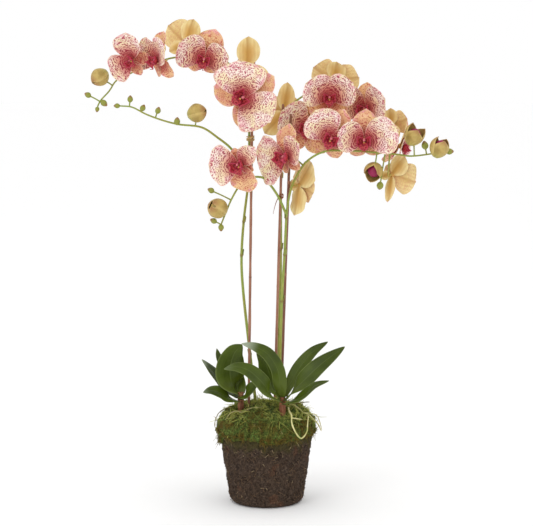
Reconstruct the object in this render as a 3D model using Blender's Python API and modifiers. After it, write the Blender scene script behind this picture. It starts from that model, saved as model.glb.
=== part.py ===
"""Orchid arrangement in a soil plug: three flower spikes on stakes, two leaf rosettes, moss and roots.

Metres, +Z up, -Y is the front. The origin is the centre of the plug's flat underside.
"""

import math
from collections import namedtuple

import bmesh
import bpy
from mathutils import Matrix, Vector

MM = 0.001

# Driving dimensions, metres.
SOIL_HEIGHT = 0.120
SOIL_BASE_RADIUS = 0.060
SOIL_TOP_RADIUS = 0.077
SOIL_FOOT_CHAMFER = 0.003
MOSS_RISE = 0.042
MOSS_SKIRT = 0.020
MOSS_THICKNESS = 0.005
MOSS_FULLNESS = 4.0
SOCKET_DEPTH = 0.035
STAKE_RADIUS = 0.0027
SPIKE_RADIUS = 0.0027
SPIKE_TIP_RADIUS = 0.0012
PEDICEL_RADIUS = 0.0013
ROOT_RADIUS = 0.0012
CROWN_RADIUS = 0.0062
CROWN_TOP_RADIUS = 0.0048
STEM_HEIGHT = 0.340
FLOWER_WIDTH = 0.118
TEPAL_THICKNESS = 0.0012
HUB_RADIUS = 0.0048
LEAF_LENGTH = 0.110
LEAF_THICKNESS = 0.0016
TIE_THICKNESS = 0.0012
TIE_HEIGHT = 0.009

# Clearances, metres.
GAP = 0.0003
PAD_GAP = 0.0006
TIE_STEPS = 5
SOCKET_CLEARANCE = 0.0006
WELD = 0.000005

# Facets.
TURN_STEPS = 28
DOME_STEPS = 8
STEM_STEP = 0.028
ROOT_STEP = 0.009
TUBE_RESOLUTION = 1
CROWN_RESOLUTION = 3

# The hand-set points below were chosen at these sizes; a changed size moves them in proportion.
CHOSEN_STEM_HEIGHT = 0.340
CHOSEN_FLOWER_WIDTH = 0.118
CHOSEN_LEAF_LENGTH = 0.110
CANOPY_CENTRE = Vector((0.0, -0.030, 0.490))

BLACK_BARK = (0.060, 0.040, 0.028)
MOSS_GREEN = (0.130, 0.170, 0.030)
STAKE_BROWN = (0.290, 0.120, 0.070)
SPIKE_GREEN = (0.230, 0.290, 0.070)
LEAF_GREEN = (0.035, 0.085, 0.022)
CROWN_BROWN = (0.280, 0.110, 0.055)
ROOT_CREAM = (0.600, 0.560, 0.260)
PETAL_CREAM = (0.780, 0.600, 0.420)
BUD_OLIVE = (0.420, 0.330, 0.100)
TIE_BROWN = (0.300, 0.200, 0.110)

Bloom = namedtuple("Bloom", "name spike spot azimuth elevation roll size cup shape sweep via",
                   defaults=({}, 0.45, None))
Bud = namedtuple("Bud", "spike spot size")
Leaf = namedtuple("Leaf", "name crown bearing tier width fold face points")

# Points in millimetres: x, y, height above the soil's top.
SPIKES = {
    "left_spike": [
        (-19, 30, 47), (-29, 32, 135), (-38, 28, 220), (-41, 20, 278), (-37, 8, 343), (-29, -1, 410),
        (-28, -1, 458), (-29, -2, 507), (-35, -6, 555), (-52, -10, 590), (-82, -12, 606),
        (-114, -15, 609), (-149, -20, 606), (-178, -22, 598), (-203, -25, 588), (-225, -28, 577),
        (-240, -30, 569), (-251, -30, 553), (-264, -30, 539), (-269, -30, 530)],
    "middle_spike": [
        (17, 58, 45), (20, 56, 120), (23, 52, 220), (24, 48, 300), (24, 46, 398), (27, 46, 473),
        (38, 48, 522), (63, 42, 546), (96, 28, 554), (128, 18, 546), (149, 14, 537), (171, 12, 524),
        (192, 12, 509)],
    "right_spike": [
        (20, -7, 55), (22, -13, 120), (25, -20, 220), (29, -28, 290), (32, -36, 354), (37, -48, 390),
        (44, -60, 412), (62, -76, 442), (90, -84, 459), (123, -85, 461), (157, -86, 459),
        (204, -85, 455), (227, -80, 452), (257, -75, 455), (281, -70, 459)],
}
BRANCHES = {
    "left_spike": [
        (-28, -1, 423), (-33, -14, 431), (-42, -30, 443), (-59, -45, 465), (-79, -50, 481),
        (-96, -50, 493), (-111, -50, 498), (-140, -50, 501), (-167, -50, 508), (-191, -50, 517),
        (-213, -50, 528), (-232, -50, 530)],
    "right_spike": [
        (32, -36, 356), (17, -50, 389), (-1, -57, 413), (-12, -60, 418), (-26, -60, 416),
        (-42, -65, 405), (-55, -70, 384), (-64, -70, 363), (-72, -70, 343)],
}
STAKES = {
    "left_stake": [(-29, -6, 49), (-23, -10, 539)],
    "middle_stake": [(14, 50, 49), (27, 22, 532)],
    "right_stake": [(24, 2, 52), (39, -30, 517)],
}
CROWNS = {"left_crown": (-42, -2, 61), "right_crown": (26, -32, 64)}

# Facing azimuth 0 looks out along -Y and grows toward +X; roll turns clockwise seen from the front.
# Cup is how far the petals come forward, and sweep how far the lower sepals go back. Shape gives a petal
# or sepal its own turn in degrees and size, and via is a point that the flower's stalk bends round.
BLOOMS = [
    Bloom("left_flower_1", "left_spike", (-37, -60, 543), -10, 0, 65, 1.00, 0.20,
          {"low_right": (-28, 0.95)}),
    Bloom("left_flower_2", "left_spike", (-30, 32, 593), 175, 0, 0, 0.84, 0.20,
          {"right": (0, 0.5), "left": (-12, 0.85)}),
    Bloom("left_flower_3", "left_spike", (-98, -38, 604), -10, -15, 15, 0.82, 0.34,
          {"low_left": (16, 0.85), "low_right": (0, 0.65)}),
    Bloom("left_flower_4", "left_spike", (-127, 34, 622), 165, 0, -20, 0.86, 0.20),
    Bloom("left_flower_5", "left_spike", (-168, -72, 600), -58, 0, 0, 0.70, 0.30),
    Bloom("left_flower_6", "left_spike", (-220, -66, 599), -30, -15, -46, 0.71, 0.25),
    Bloom("middle_flower_1", "middle_spike", (29, 76, 518), 175, 0, 0, 0.86, 0.20,
          {"left": (0, 0.6), "right": (0, 0.6)}),
    Bloom("middle_flower_2", "middle_spike", (62, -4, 500), -10, 0, 10, 0.86, 0.20),
    Bloom("middle_flower_3", "middle_spike", (98, -36, 545), 0, 0, 0, 0.80, 0.34),
    Bloom("middle_flower_4", "middle_spike", (112, 66, 568), 165, 30, 0, 0.86, 0.20),
    Bloom("middle_flower_5", "middle_spike", (157, -16, 526), -35, 0, 0, 0.76, 0.34),
    Bloom("middle_flower_6", "middle_spike", (203, 30, 496), 150, 0, 0, 0.50, 0.20),
    Bloom("middle_flower_7", "middle_spike", (216, -5, 465), 40, -20, 0, 0.76, 0.25),
    Bloom("right_flower_1", "right_spike", (32, -80, 450), -50, 0, 0, 0.92, 0.25, {"right": (0, 0.62)}),
    Bloom("right_flower_2", "right_spike", (101, -87, 480), -5, -10, 35, 0.94, 0.25,
          {"right": (0, 0.5)}, 0.45, (125, -74, 468)),
    Bloom("right_flower_3", "right_spike", (157, -93, 478), -8, -12, 0, 0.84, 0.34, {}, 0.75,
          (197, -76, 471)),
    Bloom("right_flower_4", "right_spike", (197, -48, 420), 150, 0, -35, 0.76, 0.25,
          {"right": (15, 0.5), "low_right": (0, 0.5), "low_left": (0, 0.9)}),
    Bloom("right_flower_5", "right_spike", (62, -36, 411), 115, 0, 0, 0.84, 0.25),
    Bloom("branch_flower", "right_spike", (-51, -99, 435), -42, -15, -15, 0.84, 0.34,
          {"top": (0, 0.55), "low_left": (0, 0.55), "low_right": (34, 1.05), "right": (-8, 0.9)}),
]
# Petals and sepals of a flower: name, kind, clockwise angle, length and width as shares of the flower's
# width, and a shift along its axis that keeps two bases from lying in one plane.
TEPALS = [
    ("top", "top", 0, 0.46, 0.34, -0.0013),
    ("low_left", "low", -138, 0.44, 0.32, -0.0016),
    ("low_right", "low", 138, 0.44, 0.32, -0.0019),
    ("left", "petal", -70, 0.48, 0.52, 0.0013),
    ("right", "petal", 70, 0.48, 0.52, 0.0017),
]
PEDICEL_STRAIGHT = 0.009
PEDICEL_BEND = 0.006
PEDICEL_STEP = 0.016
TEPAL_CLAW = 0.22
TEPAL_BOW = 0.35
TEPAL_BOWL = 0.10
TEPAL_START = 0.0015
TOP_LIFT = 0.02
PETAL_LIFT = 0.9
HUB_AXIS = Vector((0.13, 0.21, 1.0))
LIP_AXIS = Vector((0.04, -0.5, 0.8))
LIP_SPOT = Vector((0.0, -0.06, 0.07))
LIP_LENGTH = 0.17
LIP_WIDTH = 0.10
# A bud of its own is a separate piece; the small ones are part of their spike.
LARGE_BUDS = {
    "left_tip_bud": Bud("left_spike", (-265, -36, 575), 28),
    "left_branch_bud": Bud("left_spike", (-110, -50, 519), 28),
    "front_branch_bud": Bud("right_spike", (-81, -74, 374), 27),
    "right_low_bud": Bud("right_spike", (170, -70, 429), 28),
    "right_opening_bud": Bud("right_spike", (228, -80, 483), 32),
    "right_tip_bud": Bud("right_spike", (270, -94, 465), 28),
}
SMALL_BUDS = [
    Bud("left_spike", (-259, -30, 534), 10), Bud("left_spike", (-285, -30, 547), 9),
    Bud("left_spike", (-270, -30, 524), 7),
    Bud("left_spike", (-142, -50, 506), 10), Bud("left_spike", (-172, -50, 523), 9),
    Bud("left_spike", (-196, -50, 527), 9), Bud("left_spike", (-216, -50, 541), 9),
    Bud("left_spike", (-237, -50, 530), 8),
    Bud("right_spike", (-88, -66, 397), 9), Bud("right_spike", (-84, -70, 349), 9),
    Bud("right_spike", (-72, -70, 338), 9),
    Bud("right_spike", (249, -75, 469), 11), Bud("right_spike", (289, -70, 459), 10),
    Bud("right_spike", (180, -60, 404), 11),
]

# Bands: the stake and the stem that each holds, and its height above the soil's top at the chosen stem
# height.
TIES = {
    "left_tie": ("left_stake", "left_spike", 477),
    "middle_tie": ("middle_stake", "middle_spike", 380),
}

# A leaf's points go out from its crown; face is the way its upper side looks.
LEAVES = [
    Leaf("left_leaf_1", "left_crown", 185, 56, 40, 0.15, (0.3, -1.0, 0.2),
         [(-57, -4, 74), (-60, -4, 100), (-53, -6, 126), (-40, -11, 142)]),
    Leaf("left_leaf_2", "left_crown", 155, 51, 24, 0.20, (0.5, -0.5, 0.8),
         [(-62, 9, 62), (-78, 13, 80), (-93, 9, 98), (-106, 0, 115)]),
    Leaf("left_leaf_3", "left_crown", 212, 46, 26, 0.20, (0.0, -0.6, 0.9),
         [(-60, -14, 53), (-75, -20, 63), (-90, -24, 68), (-103, -25, 65)]),
    Leaf("left_leaf_4", "left_crown", 104, 56, 24, 0.20, (0.5, -0.7, 0.5),
         [(-53, 23, 74), (-67, 37, 92), (-79, 44, 112), (-83, 46, 126)]),
    Leaf("left_leaf_5", "left_crown", 290, 50, 20, 0.25, (-0.2, -0.8, 0.7),
         [(-35, -20, 60), (-27, -31, 70), (-19, -38, 80), (-12, -42, 89)]),
    Leaf("left_leaf_6", "left_crown", 70, 58, 18, 0.20, (-1.0, -0.4, 0.2),
         [(-40, 12, 74), (-41, 23, 90), (-43, 32, 106), (-45, 36, 118)]),
    Leaf("right_leaf_1", "right_crown", 250, 60, 30, 0.20, (0.5, -1.0, 0.3),
         [(22, -44, 80), (17, -50, 108), (2, -52, 132), (-18, -51, 144), (-40, -48, 149)]),
    Leaf("right_leaf_2", "right_crown", 178, 56, 25, 0.15, (0.3, -1.0, 0.5),
         [(12, -34, 76), (2, -33, 96), (-9, -29, 118), (-19, -24, 131)]),
    Leaf("right_leaf_3", "right_crown", 212, 51, 24, 0.20, (0.2, -0.8, 0.7),
         [(8, -54, 71), (-8, -65, 93), (-28, -69, 110), (-48, -67, 114), (-68, -63, 110)]),
    Leaf("right_leaf_4", "right_crown", 45, 59, 24, 0.25, (-0.4, -1.0, 0.5),
         [(39, -17, 78), (55, -4, 103), (76, 5, 127), (101, 10, 143)]),
    Leaf("right_leaf_5", "right_crown", 338, 53, 32, 0.20, (-0.5, -1.0, 0.6),
         [(43, -40, 69), (62, -43, 89), (90, -39, 115), (127, -29, 141)]),
    Leaf("right_leaf_6", "right_crown", 312, 47, 20, 0.30, (-0.4, -0.5, 0.9),
         [(43, -56, 57), (59, -68, 67), (78, -74, 85), (100, -74, 93)]),
    Leaf("right_leaf_7", "right_crown", 112, 60, 18, 0.15, (0.3, -1.0, 0.4),
         [(13, -15, 78), (1, -3, 100), (-9, 8, 122), (-19, 13, 134)]),
]

# Aerial roots run over the moss: bearing, reach as a share of the moss radius, height off the moss.
# Past a reach of 1 a root goes on down the skirt, by reach - 1 of the skirt's height.
ROOTS = {
    "left_root_loop": [
        (182, 0.70, 0), (183, 0.80, 0), (188, 0.92, 4), (193, 0.98, 4), (197, 1.0, 1), (199, 1.1, 0)],
    "left_root_long": [
        (210, 0.92, 0), (212, 0.83, 0), (220, 0.76, 0), (230, 0.73, 0), (236, 0.61, 0), (250, 0.55, 0),
        (265, 0.40, 0)],
    "right_root_loop": [
        (314, 0.62, 1), (302, 0.88, 4), (301, 0.97, 5), (306, 1.05, 4), (312, 1.08, 4), (319, 1.0, 4),
        (326, 0.98, 3), (334, 0.95, 0)],
    "right_root_outer": [
        (334, 0.50, 0), (336, 0.60, 0), (332, 0.72, 0), (332, 0.82, 0), (341, 0.91, 0), (348, 0.98, 2),
        (351, 1.0, 6)],
    "right_root_twig": [(352, 0.50, 0), (345, 0.78, 15)],
}


def clear_scene():
    """Remove every object that the file opened with."""
    for item in list(bpy.data.objects):
        bpy.data.objects.remove(item, do_unlink=True)


def collection(name):
    """Return a new collection linked to the scene."""
    group = bpy.data.collections.new(name)
    bpy.context.scene.collection.children.link(group)
    return group


def material(name, colour, roughness):
    """Return a Principled material of one plain colour."""
    result = bpy.data.materials.new(name)
    result.use_nodes = True
    shader = result.node_tree.nodes["Principled BSDF"]
    shader.inputs["Base Color"].default_value = (*colour, 1.0)
    shader.inputs["Roughness"].default_value = roughness
    shader.inputs["Metallic"].default_value = 0.0
    return result


def add_object(name, data, group):
    """Link mesh or curve data into a collection as a named object."""
    item = bpy.data.objects.new(name, data)
    group.objects.link(item)
    return item


def bake(item, name, group):
    """Replace an object by a plain mesh of its evaluated shape, with loose caps and slivers closed."""
    bpy.context.view_layer.update()
    evaluated = item.evaluated_get(bpy.context.evaluated_depsgraph_get())
    mesh = bpy.data.meshes.new_from_object(evaluated)
    work = bmesh.new()
    work.from_mesh(mesh)
    bmesh.ops.remove_doubles(work, verts=work.verts, dist=WELD)
    bmesh.ops.dissolve_degenerate(work, edges=work.edges, dist=WELD)
    work.to_mesh(mesh)
    work.free()
    place = item.matrix_world.copy()
    bpy.data.objects.remove(item, do_unlink=True)
    result = add_object(name, mesh, group)
    result.matrix_world = place
    return result


def fuse(name, pieces, group):
    """Join overlapping closed pieces into one body with an exact Boolean union."""
    others = bpy.data.collections.new(name + "_pieces")
    bpy.context.scene.collection.children.link(others)
    for piece in pieces[1:]:
        for owner in piece.users_collection:
            owner.objects.unlink(piece)
        others.objects.link(piece)
    union = pieces[0].modifiers.new("join", "BOOLEAN")
    union.operation = "UNION"
    union.solver = "EXACT"
    union.operand_type = "COLLECTION"
    union.collection = others
    result = bake(pieces[0], name, group)
    for piece in list(others.objects):
        bpy.data.objects.remove(piece, do_unlink=True)
    bpy.data.collections.remove(others)
    return result


def finish(item, look, smooth_angle=40):
    """Give a piece its material and smooth shading with sharp edges kept."""
    item.data.materials.clear()
    item.data.materials.append(look)
    item.data.shade_smooth()
    item.data.set_sharp_from_angle(angle=math.radians(smooth_angle))
    return item


def smoothstep(value, low, high):
    """Ease from 0 at low to 1 at high."""
    share = min(1.0, max(0.0, (value - low) / (high - low)))
    return share * share * (3.0 - 2.0 * share)


def placed(point):
    """Turn a listed plant point into metres in the part's frame.

    Heights stretch with the bare stem, and the canopy spreads about its centre with the flowers.
    """
    x, y, height = (value * MM for value in point)
    if height < 0:
        return Vector((x, y, SOIL_HEIGHT + height))
    spread = 1.0 + (FLOWER_WIDTH / CHOSEN_FLOWER_WIDTH - 1.0) * smoothstep(height, 0.20, 0.33)
    spot = CANOPY_CENTRE + (Vector((x, y, height)) - CANOPY_CENTRE) * spread
    if spot.z < CHOSEN_STEM_HEIGHT:
        spot.z *= STEM_HEIGHT / CHOSEN_STEM_HEIGHT
    else:
        spot.z += STEM_HEIGHT - CHOSEN_STEM_HEIGHT
    return Vector((spot.x, spot.y, SOIL_HEIGHT + spot.z))


def rooted(points):
    """Return a stem's points with a straight vertical foot in its socket put before them."""
    path = [placed(point) for point in points]
    foot = Vector((path[0].x, path[0].y, SOIL_HEIGHT - SOCKET_DEPTH))
    return [foot] + path


def smooth_path(points, step):
    """Sample a Catmull-Rom curve through the points, about one step apart."""
    ends = [points[0] * 2 - points[1]] + points + [points[-1] * 2 - points[-2]]
    path = [points[0]]
    for index in range(1, len(ends) - 2):
        a, b, c, d = ends[index - 1:index + 3]
        count = max(1, round((c - b).length / step))
        for part in range(1, count + 1):
            t = part / count
            path.append(0.5 * (2 * b + (c - a) * t + (2 * a - 5 * b + 4 * c - d) * t ** 2
                               + (3 * b - a - 3 * c + d) * t ** 3))
    return path


def tube(name, path, start_radius, end_radius, group, resolution=TUBE_RESOLUTION):
    """Make a tapered round bar along a path, as a closed mesh."""
    curve = bpy.data.curves.new(name, "CURVE")
    curve.dimensions = "3D"
    curve.bevel_depth = 1.0
    curve.bevel_resolution = resolution
    curve.use_fill_caps = True
    spline = curve.splines.new("POLY")
    spline.points.add(len(path) - 1)
    for index, spot in enumerate(path):
        share = index / (len(path) - 1)
        spline.points[index].co = (*spot, 1.0)
        spline.points[index].radius = start_radius + (end_radius - start_radius) * share
    return bake(add_object(name, curve, group), name, group)


def lathe(name, profile, group):
    """Turn a profile of (radius, height) points, listed top to bottom, about the Z axis."""
    mesh = bpy.data.meshes.new(name)
    verts = [(radius, 0.0, height) for radius, height in profile]
    mesh.from_pydata(verts, [(index, index + 1) for index in range(len(verts) - 1)], [])
    item = add_object(name, mesh, group)
    screw = item.modifiers.new("turn", "SCREW")
    screw.steps = TURN_STEPS
    screw.render_steps = TURN_STEPS
    screw.use_merge_vertices = True
    screw.merge_threshold = 0.00005
    return item


def cut(item, cutters):
    """Subtract every cutter of a collection."""
    hole = item.modifiers.new("sockets", "BOOLEAN")
    hole.operation = "DIFFERENCE"
    hole.solver = "EXACT"
    hole.operand_type = "COLLECTION"
    hole.collection = cutters


def soil_radius(height):
    """Radius of the plug's tapered side at a height."""
    return SOIL_BASE_RADIUS + (SOIL_TOP_RADIUS - SOIL_BASE_RADIUS) * height / SOIL_HEIGHT


def moss_outer_radius():
    """Radius of the moss where its dome meets its skirt."""
    return SOIL_TOP_RADIUS + MOSS_THICKNESS


def moss_point(reach):
    """Radius and height of the moss surface: 0 is the middle, 1 the rim, 2 the skirt's hem."""
    if reach <= 1.0:
        radius = moss_outer_radius() * reach
        return radius, SOIL_HEIGHT + MOSS_RISE * math.sqrt(1.0 - reach ** MOSS_FULLNESS)
    height = SOIL_HEIGHT - MOSS_SKIRT * (reach - 1.0)
    return soil_radius(height) + MOSS_THICKNESS, height


def make_soil(group, cutters):
    """Plug of soil: a tapered solid with blind sockets for the stems."""
    foot = SOIL_FOOT_CHAMFER
    profile = [(0.0, SOIL_HEIGHT), (SOIL_TOP_RADIUS, SOIL_HEIGHT), (soil_radius(foot), foot),
               (SOIL_BASE_RADIUS - foot, 0.0), (0.0, 0.0)]
    item = lathe("soil_plug", profile, group)
    cut(item, cutters)
    return item


def make_moss(group, cutters):
    """Pad of moss: a dome over the plug with a skirt that hangs over its edge."""
    share = [math.sin(math.pi / 2 * index / DOME_STEPS) for index in range(DOME_STEPS + 1)]
    profile = [moss_point(reach) for reach in share + [2.0]]
    hem = SOIL_HEIGHT - MOSS_SKIRT
    profile.append((soil_radius(hem) + PAD_GAP, hem))
    profile.append((SOIL_TOP_RADIUS + PAD_GAP, SOIL_HEIGHT + GAP))
    profile.append((0.0, SOIL_HEIGHT + GAP))
    item = lathe("moss_pad", profile, group)
    cut(item, cutters)
    return item


def make_cutter(name, path, radius, cutters, resolution=TUBE_RESOLUTION):
    """Socket cutter: the buried stretch of a stem, wider by the clearance all round."""
    limit = SOIL_HEIGHT + MOSS_RISE * 1.5
    buried = [spot for spot in path if spot.z < limit]
    if len(buried) < len(path):
        buried.append(path[len(buried)])
    buried[0] = buried[0] - Vector((0.0, 0.0, SOCKET_CLEARANCE))
    wide = radius + SOCKET_CLEARANCE
    item = tube(name + "_cutter", buried, wide, wide, cutters, resolution)
    item.hide_render = True
    item.display_type = "WIRE"


def ellipsoid(name, centre, axis, length, width, group, segments=6, rings=4):
    """Closed egg of a given length along an axis."""
    mesh = bpy.data.meshes.new(name)
    work = bmesh.new()
    bmesh.ops.create_uvsphere(work, u_segments=segments, v_segments=rings, radius=0.5)
    turn = Vector((0, 0, 1)).rotation_difference(axis).to_matrix().to_4x4()
    place = Matrix.Translation(centre) @ turn @ Matrix.Diagonal((width, width, length, 1.0))
    bmesh.ops.transform(work, matrix=place, verts=work.verts)
    work.to_mesh(mesh)
    work.free()
    return add_object(name, mesh, group)


def nearest_on(path, spot):
    """Closest point of a polyline to a spot."""
    best = None
    for start, end in zip(path, path[1:]):
        along = end - start
        share = max(0.0, min(1.0, (spot - start).dot(along) / along.length_squared))
        here = start + along * share
        if best is None or (here - spot).length < (best - spot).length:
            best = here
    return best


def frame_of(bloom):
    """Flower frame in world space: +Z looks out of the flower and +Y is its upright sepal."""
    turn = Matrix.Rotation(math.radians(bloom.azimuth), 4, "Z")
    tip = Matrix.Rotation(math.radians(90 - bloom.elevation), 4, "X")
    roll = Matrix.Rotation(math.radians(-bloom.roll), 4, "Z")
    return Matrix.Translation(placed(bloom.spot)) @ turn @ tip @ roll


def grid(name, columns, rows, shape, thickness, group):
    """Thicken a sheet whose points are shape(u, v) for u from 0 to 1 and v from -1 to 1."""
    mesh = bpy.data.meshes.new(name)
    work = bmesh.new()
    bmesh.ops.create_grid(work, x_segments=columns, y_segments=rows, size=0.5)
    for vert in work.verts:
        vert.co = shape(vert.co.x + 0.5, vert.co.y * 2.0)
    work.to_mesh(mesh)
    work.free()
    item = add_object(name, mesh, group)
    shell = item.modifiers.new("thickness", "SOLIDIFY")
    shell.thickness = thickness
    shell.offset = 0.0
    return bake(item, name, group)


def tepal(angle, length, width, lift, shift, group):
    """One petal or sepal, at a clockwise angle from the flower's +Y, rising toward the front by lift."""
    turn = Matrix.Rotation(math.radians(-angle), 3, "Z")

    def shape(u, v):
        half = width / 2 * max(TEPAL_CLAW, math.sin(math.pi * (0.06 + 0.86 * u) ** 0.9) ** 0.6)
        rise = length * (lift * u - TEPAL_BOW * lift * u * u) + TEPAL_BOWL * half * v * v
        return turn @ Vector((half * v, TEPAL_START + length * u, shift + rise))

    return grid("tepal", 3, 2, shape, TEPAL_THICKNESS, group)


def make_bloom(bloom, group):
    """One flower head: three sepals behind, two broad petals in front, a lip and the hub they share."""
    flower = FLOWER_WIDTH * bloom.size
    pieces = [ellipsoid("hub", Vector(), HUB_AXIS, HUB_RADIUS * 2, HUB_RADIUS * 2, group)]
    lifts = {"top": TOP_LIFT, "low": -bloom.sweep, "petal": PETAL_LIFT * bloom.cup}
    for name, kind, angle, long, wide, shift in TEPALS:
        turn, share = bloom.shape.get(name, (0, 1.0))
        size = flower * share
        pieces.append(tepal(angle + turn, long * size, wide * size, lifts[kind], shift, group))
    lip_size = (LIP_LENGTH * flower, LIP_WIDTH * flower)
    pieces.append(ellipsoid("lip", LIP_SPOT * flower, LIP_AXIS, *lip_size, group))
    item = fuse(bloom.name, pieces, group)
    item.matrix_world = frame_of(bloom)
    return item


def pedicel_to_bloom(bloom, path, group):
    """Flower stalk from the spike to just behind the flower's hub."""
    frame = frame_of(bloom)
    facing = frame.to_3x3() @ Vector((0, 0, 1))
    end = frame.translation - facing * (HUB_RADIUS + GAP)
    route = [end - facing * PEDICEL_STRAIGHT, end]
    if bloom.via:
        route.insert(0, placed(bloom.via))
    route.insert(0, nearest_on(path, route[0] - facing * PEDICEL_BEND))
    return tube("pedicel", smooth_path(route, PEDICEL_STEP), PEDICEL_RADIUS, PEDICEL_RADIUS, group, 0)


def pedicel_to_bud(spot, reach, path, group):
    """Bud stalk from the spike toward the bud's middle, stopping at a reach from it."""
    start = nearest_on(path, spot)
    away = (spot - start).normalized()
    end = spot - away * reach
    if (end - start).length < PEDICEL_RADIUS:
        return None
    return tube("pedicel", [start, end], PEDICEL_RADIUS * 0.8, PEDICEL_RADIUS * 0.8, group, 0)


def make_spike(name, path, side_path, group):
    """One flower spike: its stem, its side branch, the flower stalks and the small buds."""
    pieces = [tube(name, path, SPIKE_RADIUS, SPIKE_TIP_RADIUS, group)]
    routes = path
    if side_path:
        pieces.append(tube("branch", side_path, SPIKE_RADIUS * 0.8, SPIKE_TIP_RADIUS, group))
    for bloom in BLOOMS:
        if bloom.spike == name:
            carrier = side_path if bloom.name == "branch_flower" else routes
            pieces.append(pedicel_to_bloom(bloom, carrier, group))
    for bud in list(LARGE_BUDS.values()) + SMALL_BUDS:
        if bud.spike != name:
            continue
        spot = placed(bud.spot)
        near = [line for line in (routes, side_path) if line]
        carrier = min(near, key=lambda line: (nearest_on(line, spot) - spot).length)
        away = (spot - nearest_on(carrier, spot)).normalized()
        if bud in SMALL_BUDS:
            size = bud.size * MM
            stalk = pedicel_to_bud(spot, size * 0.3, carrier, group)
            pieces.append(ellipsoid("bud", spot, away, size * 1.3, size, group))
        else:
            stalk = pedicel_to_bud(spot, bud.size * MM / 2 + GAP, carrier, group)
        if stalk:
            pieces.append(stalk)
    return fuse(name, pieces, group)


def make_large_bud(name, bud, carrier, group):
    """A swollen bud, egg-shaped along its stalk."""
    spot = placed(bud.spot)
    away = (spot - nearest_on(carrier, spot)).normalized()
    size = bud.size * MM
    return ellipsoid(name, spot, away, size, size * 0.86, group, 10, 7)


def leaf_path(leaf):
    """Centre line of a leaf, from just off its crown's surface to its tip."""
    crown = CROWNS[leaf.crown]
    axis = Vector((crown[0] * MM, crown[1] * MM, SOIL_HEIGHT))
    bearing = math.radians(leaf.bearing)
    share = (SOCKET_DEPTH + leaf.tier * MM) / (SOCKET_DEPTH + crown[2] * MM)
    off = CROWN_RADIUS + (CROWN_TOP_RADIUS - CROWN_RADIUS) * share + GAP + LEAF_THICKNESS / 2
    base = axis + Vector((off * math.cos(bearing), off * math.sin(bearing), leaf.tier * MM))
    growth = LEAF_LENGTH / CHOSEN_LEAF_LENGTH
    points = [base]
    for x, y, height in leaf.points:
        spot = Vector((x * MM, y * MM, SOIL_HEIGHT + height * MM))
        points.append(base + (spot - base) * growth)
    return points


def make_leaf(leaf, group):
    """One strap-shaped leaf with a folded midrib."""
    points = leaf_path(leaf)
    fine = smooth_path(points, 0.002)
    face = Vector(leaf.face).normalized()
    bearing = math.radians(leaf.bearing)
    base_face = Vector((-math.cos(bearing), -math.sin(bearing), 1.5)).normalized()
    if base_face.dot(face) < 0:
        base_face.negate()
    widest = leaf.width * MM * LEAF_LENGTH / CHOSEN_LEAF_LENGTH

    def shape(u, v):
        index = min(len(fine) - 2, int(u * (len(fine) - 1)))
        share = u * (len(fine) - 1) - index
        spot = fine[index].lerp(fine[index + 1], share)
        along = (fine[index + 1] - fine[index]).normalized()
        side = along.cross(base_face.lerp(face, smoothstep(u, 0.0, 0.45))).normalized()
        up = side.cross(along)
        half = widest / 2 * math.sin(math.pi * (0.06 + 0.90 * u)) ** 0.8
        return spot + side * (half * v) + up * (half * leaf.fold * abs(v))

    return grid(leaf.name, 6, 2, shape, LEAF_THICKNESS, group)


def make_crown(name, group):
    """Short tapered stem that a rosette's leaves grow from."""
    x, y, height = (value * MM for value in CROWNS[name])
    path = [Vector((x, y, SOIL_HEIGHT - SOCKET_DEPTH)), Vector((x, y, SOIL_HEIGHT + height))]
    return path, tube(name, path, CROWN_RADIUS, CROWN_TOP_RADIUS, group, CROWN_RESOLUTION)


def make_root(name, points, group):
    """Aerial root lying over the moss, its route given on the moss surface."""
    route = []
    for bearing, reach, height in points:
        radius, level = moss_point(reach)
        inner, lower = moss_point(min(1.98, reach + 0.02))
        outward = Vector((level - lower, 0.0, inner - radius)).normalized()
        lift = height * MM + ROOT_RADIUS + GAP
        turn = Matrix.Rotation(math.radians(bearing), 3, "Z")
        route.append(turn @ (Vector((radius, 0.0, level)) + outward * lift))
    return tube(name, smooth_path(route, ROOT_STEP), ROOT_RADIUS, ROOT_RADIUS * 0.7, group)


def make_tie(name, stake, spike, height, group):
    """Flat band round a stake and the stem beside it."""
    level = SOIL_HEIGHT + STEM_HEIGHT - CHOSEN_STEM_HEIGHT + height
    first = at_height(stake, level)
    second = at_height(spike, level)
    apart = second - first
    inner = max(STAKE_RADIUS, SPIKE_RADIUS) + PAD_GAP
    mesh = bpy.data.meshes.new(name)
    work = bmesh.new()
    rim = []
    for centre, start in ((second, -90), (first, 90)):
        for index in range(TIE_STEPS + 1):
            angle = math.atan2(apart.y, apart.x) + math.radians(start + 180 * index / TIE_STEPS)
            rim.append((centre, Vector((math.cos(angle), math.sin(angle), 0.0))))
    outer = inner + TIE_THICKNESS
    corners = ((inner, -0.5), (outer, -0.5), (outer, 0.5), (inner, 0.5))
    rings = []
    for centre, out in rim:
        rings.append([work.verts.new(centre + out * reach + Vector((0, 0, side * TIE_HEIGHT)))
                      for reach, side in corners])
    for ring, after in zip(rings, rings[1:] + rings[:1]):
        for index in range(4):
            other = (index + 1) % 4
            work.faces.new((ring[index], ring[other], after[other], after[index]))
    bmesh.ops.recalc_face_normals(work, faces=work.faces)
    work.to_mesh(mesh)
    work.free()
    return add_object(name, mesh, group)


def at_height(path, level):
    """Point of a rising path at a height."""
    for start, end in zip(path, path[1:]):
        if start.z <= level <= end.z:
            return start.lerp(end, (level - start.z) / (end.z - start.z))
    return path[-1].copy()


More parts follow.
